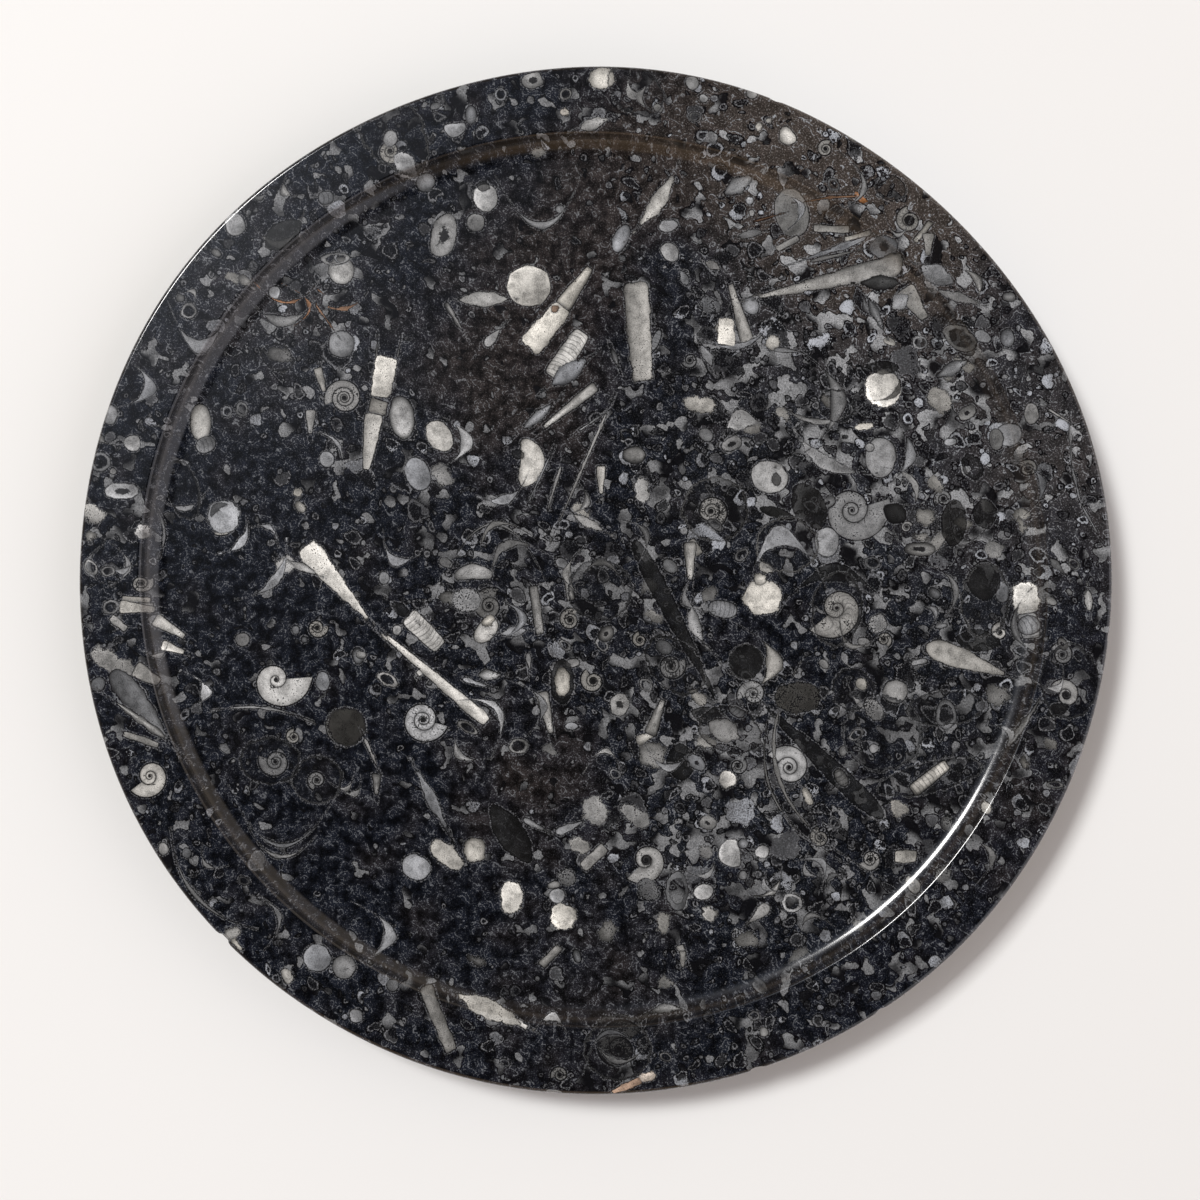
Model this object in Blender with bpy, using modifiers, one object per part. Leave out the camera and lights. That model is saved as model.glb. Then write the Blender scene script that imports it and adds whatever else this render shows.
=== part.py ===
"""A round plate turned from one slab of black fossil limestone and polished all over.

The whole plate is one stone: a flat raised rim, a short steep wall that runs out into a flat
recessed floor in a wide cove, a straight side that turns in at the bottom, and a flat base.
The fossils are cut flush with the polish, so they are colour only and have no shape here. The
hand-cut outline wanders a little, the well is slightly oval and off centre, and small flakes
are gone from the outer edge.

Metres, +Z up. The origin is the centre of the base, on the surface that the plate rests on.
"""

import math

import bmesh
import bpy
import numpy as np
from mathutils import Matrix, Vector

# Driving dimensions.
PLATE_RADIUS = 0.150
PLATE_HEIGHT = 0.018
WELL_DEPTH = 0.005
WELL_EDGE_RADIUS = 0.1311  # the corner of rim and wall, before it is rounded
WELL_FOOT_RADIUS = 0.1283  # the corner of wall and floor, before it is coved
BASE_RADIUS = 0.140  # the corner of base and undercut, before it is rounded
SIDE_FOOT_HEIGHT = 0.006  # where the straight side starts to turn in

# How far each corner of the section is rounded, and in how many straight steps.
WELL_COVE = (0.0070, 6)
WELL_ARRIS = (0.0012, 3)
RIM_ARRIS = (0.0013, 4)
SIDE_ROUND = (0.0040, 3)
BASE_ROUND = (0.0020, 2)

SEGMENTS = 96  # around the plate
WELL_OVAL = 0.0012  # the well is this much wider along its long axis, and narrower across it
WELL_OVAL_TURN = -20  # degrees from +X to the long axis
WELL_SHIFT = (-0.0002, 0.0005)  # the well's centre
OUTLINE_WAVES = {2: (0.0005, -37), 3: (0.0002, -50), 5: (0.0003, 31), 6: (0.0002, 113)}

# Flakes lost from the outer edge: degrees from +X, then length along the edge and depth.
EDGE_CHIPS = {
    "chip_large": (223.9, 0.0044, 0.0016),
    "chip_front": (288.4, 0.0046, 0.0010),
    "chip_front_right": (303.7, 0.0030, 0.0009),
    "chip_back": (69.4, 0.0036, 0.0006),
    "chip_right": (353.9, 0.0022, 0.0006),
}
CHIP_REACH = 0.0026  # half of a cutter's width along the plate's radius
CHIP_DROP = 0.0030  # half of a cutter's height
CHIP_CENTRE_BELOW_RIM = 0.0006

STONE_COLOUR = (0.035, 0.036, 0.040, 1.0)
STONE_ROUGHNESS = 0.12
MERGE_DISTANCE = 0.00001


def clear_scene():
    for item in list(bpy.data.objects):
        bpy.data.objects.remove(item, do_unlink=True)


def new_collection(name, hidden=False):
    collection = bpy.data.collections.new(name)
    collection.hide_render = hidden
    bpy.context.scene.collection.children.link(collection)
    return collection


def stone_material():
    material = bpy.data.materials.new("polished_fossil_limestone")
    material.use_nodes = True
    shader = material.node_tree.nodes["Principled BSDF"]
    shader.inputs["Base Color"].default_value = STONE_COLOUR
    shader.inputs["Roughness"].default_value = STONE_ROUGHNESS
    shader.inputs["Metallic"].default_value = 0.0
    return material


def rounded_corner(before, corner, after, rounding):
    """The points of an arc that rounds a corner, touching the lines to the points either side."""
    radius, steps = rounding
    to_before = (before - corner).normalized()
    to_after = (after - corner).normalized()
    half_angle = to_before.angle(to_after) / 2
    centre = corner + (to_before + to_after).normalized() * radius / math.sin(half_angle)
    start = corner + to_before * radius / math.tan(half_angle) - centre
    sweep = start.angle_signed(corner + to_after * radius / math.tan(half_angle) - centre)
    turns = [Matrix.Rotation(-sweep * step / steps, 2) for step in range(steps + 1)]
    return [centre + turn @ start for turn in turns]


def plate_section():
    """The half section, as (radius, height): out over the top, down the side, in along the base."""
    floor_height = PLATE_HEIGHT - WELL_DEPTH
    corners = [
        (Vector((0, floor_height)), None),
        (Vector((WELL_FOOT_RADIUS, floor_height)), WELL_COVE),
        (Vector((WELL_EDGE_RADIUS, PLATE_HEIGHT)), WELL_ARRIS),
        (Vector((PLATE_RADIUS, PLATE_HEIGHT)), RIM_ARRIS),
        (Vector((PLATE_RADIUS, SIDE_FOOT_HEIGHT)), SIDE_ROUND),
        (Vector((BASE_RADIUS, 0)), BASE_ROUND),
        (Vector((0, 0)), None),
    ]
    points = [corners[0][0]]
    for (before, _), (corner, rounding), (after, _) in zip(corners, corners[1:], corners[2:]):
        points += rounded_corner(before, corner, after, rounding)
    points.append(corners[-1][0])
    return points


def turned_mesh(name, section):
    """The section turned about Z with a Screw modifier, as a finished mesh."""
    outline = bpy.data.meshes.new(name + "_section")
    edges = [(index, index + 1) for index in range(len(section) - 1)]
    outline.from_pydata([(point.x, 0, point.y) for point in section], edges, [])
    lathe = bpy.data.objects.new(name + "_lathe", outline)
    bpy.context.scene.collection.objects.link(lathe)
    screw = lathe.modifiers.new("turn", "SCREW")
    screw.axis = "Z"
    screw.steps = SEGMENTS
    screw.render_steps = SEGMENTS
    screw.use_merge_vertices = True
    screw.merge_threshold = MERGE_DISTANCE
    graph = bpy.context.evaluated_depsgraph_get()
    mesh = bpy.data.meshes.new_from_object(lathe.evaluated_get(graph))
    bpy.data.objects.remove(lathe)
    return mesh


def ramp(values, low, high):
    """0 below low, 1 above high, and a smooth rise between."""
    share = np.clip((values - low) / (high - low), 0, 1)
    return share * share * (3 - 2 * share)


def outline_wander(angle):
    """How far the hand-cut outline stands out from a true circle at each angle."""
    waves = [
        size * np.cos(count * angle - math.radians(turn))
        for count, (size, turn) in OUTLINE_WAVES.items()
    ]
    return np.sum(waves, axis=0)


def shape_by_hand(mesh):
    """The outline wanders, and the well goes oval and moves off centre."""
    points = np.empty(len(mesh.vertices) * 3)
    mesh.vertices.foreach_get("co", points)
    points = points.reshape(-1, 3)
    radius = np.hypot(points[:, 0], points[:, 1])
    angle = np.arctan2(points[:, 1], points[:, 0])
    outside = ramp(radius, WELL_EDGE_RADIUS, PLATE_RADIUS)
    inside = ramp(radius, WELL_FOOT_RADIUS * 0.5, WELL_FOOT_RADIUS) * (1 - outside)
    oval = WELL_OVAL * np.cos(2 * (angle - math.radians(WELL_OVAL_TURN)))
    growth = outline_wander(angle) * outside + oval * inside
    points[:, :2] *= (1 + growth / np.maximum(radius, MERGE_DISTANCE))[:, None]
    points[:, :2] += np.array(WELL_SHIFT) * inside[:, None]
    mesh.vertices.foreach_set("co", points.ravel())
    mesh.update()


def chip_cutter(name, degrees, length, depth, collection):
    """A rough ellipsoid that reaches depth into the outer edge and cuts it for about length."""
    angle = math.radians(degrees)
    edge_radius = PLATE_RADIUS + float(outline_wander(np.array(angle)))
    reach_share = (CHIP_REACH - depth) / CHIP_REACH
    half_length = length / 2 / math.sqrt(1 - reach_share * reach_share)
    place = Matrix.Rotation(angle, 4, "Z") @ Matrix.Translation(
        (edge_radius - depth + CHIP_REACH, 0, PLATE_HEIGHT - CHIP_CENTRE_BELOW_RIM)
    )
    size = Matrix.Diagonal((CHIP_REACH, half_length, CHIP_DROP, 1))
    shape = bmesh.new()
    bmesh.ops.create_icosphere(shape, subdivisions=2, radius=1, matrix=place @ size)
    mesh = bpy.data.meshes.new(name)
    shape.to_mesh(mesh)
    shape.free()
    cutter = bpy.data.objects.new(name, mesh)
    cutter.hide_render = True
    cutter.display_type = "WIRE"
    collection.objects.link(cutter)
    return cutter


def make_plate(parts, cutters):
    mesh = turned_mesh("fossil_plate", plate_section())
    shape_by_hand(mesh)
    mesh.shade_smooth()
    mesh.materials.clear()
    mesh.materials.append(stone_material())
    plate = bpy.data.objects.new("fossil_plate", mesh)
    parts.objects.link(plate)
    for name, (degrees, length, depth) in EDGE_CHIPS.items():
        cut = plate.modifiers.new(name, "BOOLEAN")
        cut.operation = "DIFFERENCE"
        cut.solver = "EXACT"
        cut.object = chip_cutter(name, degrees, length, depth, cutters)
    return plate


def main():
    clear_scene()
    parts = new_collection("ammonite_fossil_plate")
    cutters = new_collection("cutters", hidden=True)
    make_plate(parts, cutters)


main()
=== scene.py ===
import math

import bpy
import numpy as np
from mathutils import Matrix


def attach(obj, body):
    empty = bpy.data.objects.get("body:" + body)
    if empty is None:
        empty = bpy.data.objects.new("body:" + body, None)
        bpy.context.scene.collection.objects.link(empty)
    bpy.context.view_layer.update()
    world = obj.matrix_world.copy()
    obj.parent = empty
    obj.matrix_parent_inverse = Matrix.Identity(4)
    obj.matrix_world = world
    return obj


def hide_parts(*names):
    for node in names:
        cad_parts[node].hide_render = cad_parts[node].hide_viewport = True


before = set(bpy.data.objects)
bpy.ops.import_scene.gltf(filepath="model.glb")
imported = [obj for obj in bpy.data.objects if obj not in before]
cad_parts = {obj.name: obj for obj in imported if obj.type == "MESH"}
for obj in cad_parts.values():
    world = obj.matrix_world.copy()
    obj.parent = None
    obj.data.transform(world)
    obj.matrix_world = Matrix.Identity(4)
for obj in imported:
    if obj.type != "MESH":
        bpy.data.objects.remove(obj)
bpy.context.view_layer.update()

mm = 0.001  # pieces are worked out in millimetres, and lights and camera placed in metres

view = dict(
    centre=(0.00161, -0.00540),  # where the camera stands, straight above the plate
    aboveRim=0.479,
    fieldOfView=40.0,  # degrees
    nearest=0.01,  # nothing closer to the lens is drawn
)

studio = dict(
    keyTurn=138.0,  # degrees from +X towards +Y
    keyLean=36.0,  # degrees from straight up
    keyDistance=4.0,
    keySize=(1.0, 0.84),
    keyPower=140.0,  # watts
    keyColour=(1.0, 0.985, 0.96),
    floorColour=(0.765, 0.776, 0.778, 1.0),
    floorRoughness=0.9,
    floorSpecular=0.2,
    floorSide=6.0,
    overhead=0.01,  # sky brightness straight up, which the polish mirrors
    around=0.15,  # and below that
    horizon=0.42,  # and low down
    overheadEdge=(0.93, 0.80),  # heights in the sky where one brightness gives way to the next
    horizonEdge=(0.45, 0.20),
    # low reflectors, which light the wall opposite: degrees from +X and from straight up,
    # cosines of the half angles where each ends and is full, strength, colour
    banks=[
        (-22.0, 62.0, (0.74, 0.86), 1.00, (0.94, 0.95, 1.06)),
        (40.0, 62.0, (0.80, 0.92), 0.50, (1.12, 0.98, 0.84)),
        (-100.0, 62.0, (0.86, 0.94), 0.30, (1.50, 0.95, 0.50)),
    ],
    skyGlow=1.2,  # cool light around the key, seen as a veil on the polish
    glowEdge=0.74,  # cosine of the angle from the key where the glow ends
    glowFall=5.0,  # power by which it fades on the way there
    roomColour=(1.22, 0.955, 0.74),
    skyColour=(0.86, 0.94, 1.12),
)


def aimedAt(thing, target):
    # turns a lamp so that its -Z axis points at the target
    line = np.array(target) - np.array(thing.location)
    flat = math.hypot(line[0], line[1])
    thing.rotation_euler = (math.atan2(flat, -line[2]), 0, math.atan2(line[1], line[0]) - math.pi / 2)


def makeCamera(height):
    lens = bpy.data.cameras.new("camera")
    lens.angle = math.radians(view["fieldOfView"])
    lens.clip_start = view["nearest"]
    camera = bpy.data.objects.new("camera", lens)
    camera.location = (*view["centre"], height + view["aboveRim"])
    bpy.context.scene.collection.objects.link(camera)
    bpy.context.scene.camera = camera


def makeStudio():
    turn, lean = math.radians(studio["keyTurn"]), math.radians(studio["keyLean"])
    away = studio["keyDistance"]
    key = bpy.data.lights.new("key_softbox", "AREA")
    key.shape = "RECTANGLE"
    key.size, key.size_y = studio["keySize"]
    key.energy = studio["keyPower"]
    key.color = studio["keyColour"]
    lamp = bpy.data.objects.new("key_softbox", key)
    lamp.location = (
        away * math.sin(lean) * math.cos(turn),
        away * math.sin(lean) * math.sin(turn),
        away * math.cos(lean),
    )
    aimedAt(lamp, (0, 0, 0))
    bpy.context.scene.collection.objects.link(lamp)

    side = studio["floorSide"] / 2
    mesh = bpy.data.meshes.new("studio_floor")
    corners = [(-side, -side, 0), (side, -side, 0), (side, side, 0), (-side, side, 0)]
    mesh.from_pydata(corners, [], [(0, 1, 2, 3)])
    floor = bpy.data.objects.new("studio_floor", mesh)
    bpy.context.scene.collection.objects.link(floor)
    paper = bpy.data.materials.new("pale_paper")
    paper.use_nodes = True
    shader = paper.node_tree.nodes["Principled BSDF"]
    shader.inputs["Base Color"].default_value = studio["floorColour"]
    shader.inputs["Roughness"].default_value = studio["floorRoughness"]
    shader.inputs["Specular IOR Level"].default_value = studio["floorSpecular"]
    mesh.materials.append(paper)


def addNode(tree, kind, **settings):
    node = tree.nodes.new(kind)
    for name, value in settings.items():
        setattr(node, name, value)
    count = len(tree.nodes)
    node.location = (190 * (count // 6), -170 * (count % 6))
    return node


def feed(tree, value, socket):
    if isinstance(value, Wire):
        tree.links.new(value.socket, socket)
    else:
        socket.default_value = value


def mathNode(tree, operation, *values):
    node = addNode(tree, "ShaderNodeMath", operation=operation)
    for place, value in enumerate(values):
        feed(tree, value, node.inputs[place])
    return Wire(tree, node.outputs[0])


# a Wire is an output socket that answers to arithmetic, each step one node
class Wire:
    def __init__(self, tree, socket):
        self.tree = tree
        self.socket = socket

    def do(self, operation, *others):
        return mathNode(self.tree, operation, self, *others)

    def __add__(self, other):
        return self.do("ADD", other)

    def __sub__(self, other):
        return self.do("SUBTRACT", other)

    def __mul__(self, other):
        return self.do("MULTIPLY", other)

    def __truediv__(self, other):
        return self.do("DIVIDE", other)

    def __pow__(self, other):
        return self.do("POWER", other)

    def __rsub__(self, other):
        return mathNode(self.tree, "SUBTRACT", other, self)

    def __rtruediv__(self, other):
        return mathNode(self.tree, "DIVIDE", other, self)

    __radd__ = __add__
    __rmul__ = __mul__

    def size(self):
        return self.do("ABSOLUTE")

    def fraction(self):
        return self.do("FRACT")

    def atLeast(self, other):
        return self.do("MAXIMUM", other)

    def atMost(self, other):
        return self.do("MINIMUM", other)

    def over(self, other):
        return self.do("GREATER_THAN", other)

    def smooth(self, low, high):  # 0 at low, 1 at high, with a smooth rise; low may be the larger
        node = addNode(self.tree, "ShaderNodeMapRange", interpolation_type="SMOOTHSTEP")
        for name, value in (("Value", self), ("From Min", low), ("From Max", high)):
            feed(self.tree, value, node.inputs[name])
        return Wire(self.tree, node.outputs[0])

    def parts(self):
        node = addNode(self.tree, "ShaderNodeSeparateXYZ")
        feed(self.tree, self, node.inputs[0])
        return [Wire(self.tree, out) for out in node.outputs]


def vectorNode(tree, operation, *values):
    node = addNode(tree, "ShaderNodeVectorMath", operation=operation)
    for place, value in enumerate(values):
        socket = node.inputs["Scale"] if operation == "SCALE" and place == 1 else node.inputs[place]
        feed(tree, value, socket)
    return Wire(tree, node.outputs[0])


def mixed(tree, amount, under, over):
    node = addNode(tree, "ShaderNodeMix", data_type="RGBA")
    feed(tree, amount, node.inputs[0])
    feed(tree, under, node.inputs[6])
    feed(tree, over, node.inputs[7])
    return Wire(tree, node.outputs[2])


def noise(tree, place, scale, detail=2.0, roughness=0.5, distortion=0.0):
    node = addNode(tree, "ShaderNodeTexNoise", noise_dimensions="2D")
    for name, value in (
        ("Vector", place), ("Scale", scale), ("Detail", detail),
        ("Roughness", roughness), ("Distortion", distortion),
    ):
        feed(tree, value, node.inputs[name])
    return Wire(tree, node.outputs[0])


def attribute(tree, name):
    node = addNode(tree, "ShaderNodeAttribute", attribute_name=name)
    return Wire(tree, node.outputs["Vector"]), Wire(tree, node.outputs["Alpha"])


# sockets are given by kind, as dict(value="Grain Cloud", vector="Place"), and come back as
# Wires in that order
def newGroup(name, inputs, outputs):
    tree = bpy.data.node_groups.new(name, "ShaderNodeTree")
    sorts = dict(value="NodeSocketFloat", vector="NodeSocketVector", colour="NodeSocketColor")
    for way, sockets in (("INPUT", inputs), ("OUTPUT", outputs)):
        for sort, labels in sockets.items():
            for label in labels.split():
                tree.interface.new_socket(label, in_out=way, socket_type=sorts[sort])
    start = addNode(tree, "NodeGroupInput")
    end = addNode(tree, "NodeGroupOutput")
    labels = " ".join(inputs.values()).split()
    return tree, [Wire(tree, start.outputs[label]) for label in labels], end


def useGroup(tree, group, **values):
    node = addNode(tree, "ShaderNodeGroup", node_tree=group)
    for label, value in values.items():
        feed(tree, value, node.inputs[label])
    return {out.name: Wire(tree, out) for out in node.outputs}


stone = dict(  # colours are linear
    # blue black is the mud's own colour and also a painted reflection, the bluish sheen of the polish; it
    # shows where warmth is low
    blueBlackAndSheen=(0.0050, 0.0064, 0.0108, 1),
    brownBlack=(0.0165, 0.0138, 0.0138, 1),
    mudInside=(0.0040, 0.0041, 0.0052, 1),
    line=(0.0022, 0.0022, 0.0028, 1),
    fleck=(0.115, 0.123, 0.140, 1),
    warmFleck=(0.150, 0.128, 0.112, 1),
    thread=(0.250, 0.268, 0.290, 1),
    spar=(0.205, 0.213, 0.228, 1),
    sparPale=(0.410, 0.428, 0.450, 1),
    coolCalcite=(0.400, 0.430, 0.480, 1),
    ivory=(0.700, 0.690, 0.640, 1),
    rust=(0.480, 0.220, 0.090, 1),
    roughness=0.13,
    calciteRoughness=0.06,  # added where calcite shows
    ior=1.52,
)

# how fine each noise is, in repeats to a millimetre
noises = dict(cloud=0.28, grain=1.9, slow=0.07, bits=3.2, course=0.19, patch=0.12)

# shares of the two noises in fine salt, and how strong each mark on the mud is
mudLook = dict(grainShare=0.65, bitShare=0.35, threads=0.28, cement=0.94, cementLine=0.9)
cementLevel = 0.73
cementPerDensity = 0.36  # how far shell density lowers that level

# the edge of every cut shell, in mm from its outline
shellEdge = dict(
    soft=0.12,
    line=(0.30, 0.05),  # where the dark line fades out and is full
    lineStrength=0.85,
    haloAt=0.38,
    halo=(0.26, 0.05),
    haloStrength=0.45,
)


# dark fine mud: a cloudy mix of two blacks, brown where warmth plus a slow noise is high, with
# pale dust where fine noise is above its middle, more of it in haze; thin pale threads where
# the fraction of a sum of two slow noises is near a half; and grey cement where a slow noise
# plus a share of the shell density passes a level, with a black line along its edge
def mudGroup():
    tree, (place, density, warmth, haze), end = newGroup(
        "limestone_mud",
        dict(vector="Place", value="Density Warmth Haze"),
        dict(colour="Color", value="Grain Cloud Bits Calcite"),
    )
    cloud = noise(tree, place, noises["cloud"], 3.0, 0.62)
    grain = noise(tree, place, noises["grain"], 1.0, 0.75)
    slow = noise(tree, place, noises["slow"], 1.0, 0.5)
    bits = noise(tree, place, noises["bits"], 0.0)
    density = density + (slow - 0.5) * 1.1
    browner = (warmth + (slow - 0.5) * 1.2).smooth(0, 1)
    # where warmth is low the mud takes the blue black, partly the stone's colour and partly a painted
    # reflection of the polish's bluish sheen
    colour = mixed(tree, browner, stone["blueBlackAndSheen"], stone["brownBlack"])
    colour = vectorNode(tree, "SCALE", colour, cloud.smooth(0.28, 0.72) * 1.35 + 0.20)
    salt = grain * mudLook["grainShare"] + bits * mudLook["bitShare"]
    flecks = salt.smooth(0.47, 0.78) * (haze * 0.45 + cloud.smooth(0.40, 0.66) * 0.42 + 0.02)
    flecks = flecks + (haze - 0.2).atLeast(0.0) * 0.14
    dust = mixed(tree, warmth.smooth(0.3, 1.2), stone["fleck"], stone["warmFleck"])
    colour = mixed(tree, flecks.atMost(1.0), colour, dust)
    sparkle = salt.smooth(0.60, 0.72) * (haze * 0.32 + cloud.smooth(0.46, 0.66) * 0.32)
    colour = mixed(tree, sparkle.atMost(1.0), colour, stone["thread"])
    bent = vectorNode(tree, "ADD", place, vectorNode(tree, "SCALE", (3.0, -2.2, 0), cloud))
    shifted = vectorNode(tree, "ADD", bent, (71.0, 43.0, 0))
    course = noise(tree, shifted, noises["course"], 1.0, 0.5)
    patch = noise(tree, shifted, noises["patch"], 1.0, 0.5)
    thread = ((course * 5.0 + patch * 3.0).fraction() - 0.5).size().smooth(0.10, 0.03)
    thread = thread * cloud.smooth(0.47, 0.56) * grain.smooth(0.34, 0.50)
    colour = mixed(tree, thread * (haze * 0.6 + mudLook["threads"]), colour, stone["thread"])
    above = course + density * cementPerDensity - cementLevel
    tone = patch.smooth(0.34, 0.64) * (salt * 1.6 + cloud * 0.6 - 0.46) * (haze * 0.5 + 0.50)
    inside = above.smooth(-0.002, 0.010)
    fill = mixed(tree, tone.atMost(1.0).atLeast(0.0), stone["mudInside"], stone["sparPale"])
    colour = mixed(tree, inside * mudLook["cement"], colour, fill)
    cementEdge = above.size().smooth(0.026, 0.008)
    colour = mixed(tree, cementEdge * mudLook["cementLine"], colour, stone["line"])
    for label, value in dict(
        Color=colour, Grain=grain, Cloud=cloud, Bits=bits, Calcite=inside * tone,
    ).items():
        feed(tree, value, end.inputs[label])
    return tree


# loose shells, at most one to a cell of a jittered grid. In the cell's own turned and bent
# coordinates each is where the distance from its middle, plus noise, is under a radius; a
# second circle cuts some to crescents, and some are rings. Part is filled with mud, with a
# dark line round it and a thin pale one inside that
def hashGroup():
    tree, (place, under, grain, cloud, bits, cell, cover, seed, bright), end = newGroup(
        "shell_hash",
        dict(vector="Place", colour="Under", value="Grain Cloud Bits Cell Cover Seed Bright"),
        dict(colour="Color", value="Calcite"),
    )
    shift = addNode(tree, "ShaderNodeCombineXYZ")
    feed(tree, seed + cloud * 0.42, shift.inputs[0])
    feed(tree, seed * 1.37 - cloud * 0.34 + bits * 0.10, shift.inputs[1])
    inCells = vectorNode(tree, "SCALE", place, 1.0 / cell)
    inCells = vectorNode(tree, "ADD", inCells, Wire(tree, shift.outputs[0]))
    cells = addNode(tree, "ShaderNodeTexVoronoi", voronoi_dimensions="2D", feature="F1")
    feed(tree, inCells, cells.inputs["Vector"])
    cells.inputs["Scale"].default_value = 1.0
    cells.inputs["Randomness"].default_value = 0.8
    first, second, third = Wire(tree, cells.outputs["Color"]).parts()
    fourth = (first * 57.3 + second * 13.1).fraction()
    fifth = (second * 91.7 + third * 29.3).fraction()
    sixth = (third * 41.1 + first * 67.9).fraction()
    local = vectorNode(tree, "SUBTRACT", inCells, Wire(tree, cells.outputs["Position"]))
    turned = addNode(tree, "ShaderNodeVectorRotate", rotation_type="Z_AXIS")
    feed(tree, local, turned.inputs["Vector"])
    feed(tree, first * math.tau, turned.inputs["Angle"])
    along, across, _ = Wire(tree, turned.outputs[0]).parts()
    narrow = second * 0.62 + 0.34
    across = (across - (third - 0.5) * 2.0 * along * along) / (narrow * (along * (fifth - 0.5) * 1.6 + 1.0))
    rough = (grain - 0.5) * 0.45 / cell + (cloud - 0.5) * 0.20
    reach = (along * along + across * across).do("SQRT") + rough
    radius = fourth * 0.26 + 0.26
    gap = (reach - radius) * cell * (narrow * 0.5 + 0.5)
    here = cover.over(fifth)
    inside = gap.smooth(0.12, -0.12) * here
    rim = gap.size().smooth(0.30, 0.10) * here
    wall = (gap + 0.46).size().smooth(0.24, 0.06) * inside * ((fourth - 0.2).atLeast(0.0) * 0.9 + 0.08)
    bite = ((along - radius * 0.5) * (along - radius * 0.5) + across * across).do("SQRT") - radius * 0.8
    crescent = (bite + rough).smooth(-0.02, 0.02).atLeast(sixth.over(0.38))
    ring = (gap + cell * 0.05 + 0.45).smooth(-0.15, 0.15).atLeast(1.0 - sixth.over(0.80))
    mud = (cloud + (grain - 0.5) * 0.35 + (second - 0.5) * 0.8).smooth(0.50, 0.56)
    fill = inside * crescent.atMost(ring) * mud.atLeast(sixth.over(0.78))
    slant = (along * (third - 0.5) + across * (second - 0.5)) / radius * 0.9 + 1.0
    tone = ((third * 7.0 + fourth * 3.0).fraction() ** 1.7) * bright
    tone = tone * (grain * 1.4 + bits * 0.8 + cloud * 0.5 - 0.45) * slant
    calcite = mixed(tree, (tone * 1.3).smooth(0.1, 0.9), stone["spar"], stone["coolCalcite"])
    mudFill = mixed(tree, grain.smooth(0.50, 0.85) * (bright * 0.5), stone["mudInside"], stone["fleck"])
    colour = mixed(tree, inside * 0.9, under, mudFill)
    colour = mixed(tree, fill * (tone + 0.06).atMost(1.0), colour, calcite)
    colour = mixed(tree, wall * grain.smooth(0.36, 0.56), colour, stone["spar"])
    colour = mixed(tree, rim * 0.95, colour, stone["line"])
    feed(tree, colour, end.inputs["Color"])
    feed(tree, fill * tone, end.inputs["Calcite"])
    return tree


def calciteRamp(tree, warmth):
    # cool calcite, then ivory, then rust
    node = addNode(tree, "ShaderNodeValToRGB")
    node.color_ramp.elements[0].color = stone["coolCalcite"]
    node.color_ramp.elements[1].color = stone["rust"]
    node.color_ramp.elements.new(0.5).color = stone["ivory"]
    feed(tree, warmth, node.inputs[0])
    return Wire(tree, node.outputs[0])


# from the distance outside an outline: inside it, the dark line on it, the halo round it, and
# how much of the line is left in each cloud
def edgeMarks(gap, grain, cloud):
    inside = gap.smooth(shellEdge["soft"], -shellEdge["soft"])
    line = gap.size().smooth(*shellEdge["line"])
    halo = (gap - shellEdge["haloAt"]).size().smooth(*shellEdge["halo"]) * grain.smooth(0.40, 0.62)
    return inside, line, halo * shellEdge["haloStrength"], cloud.smooth(0.20, 0.55)
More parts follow.
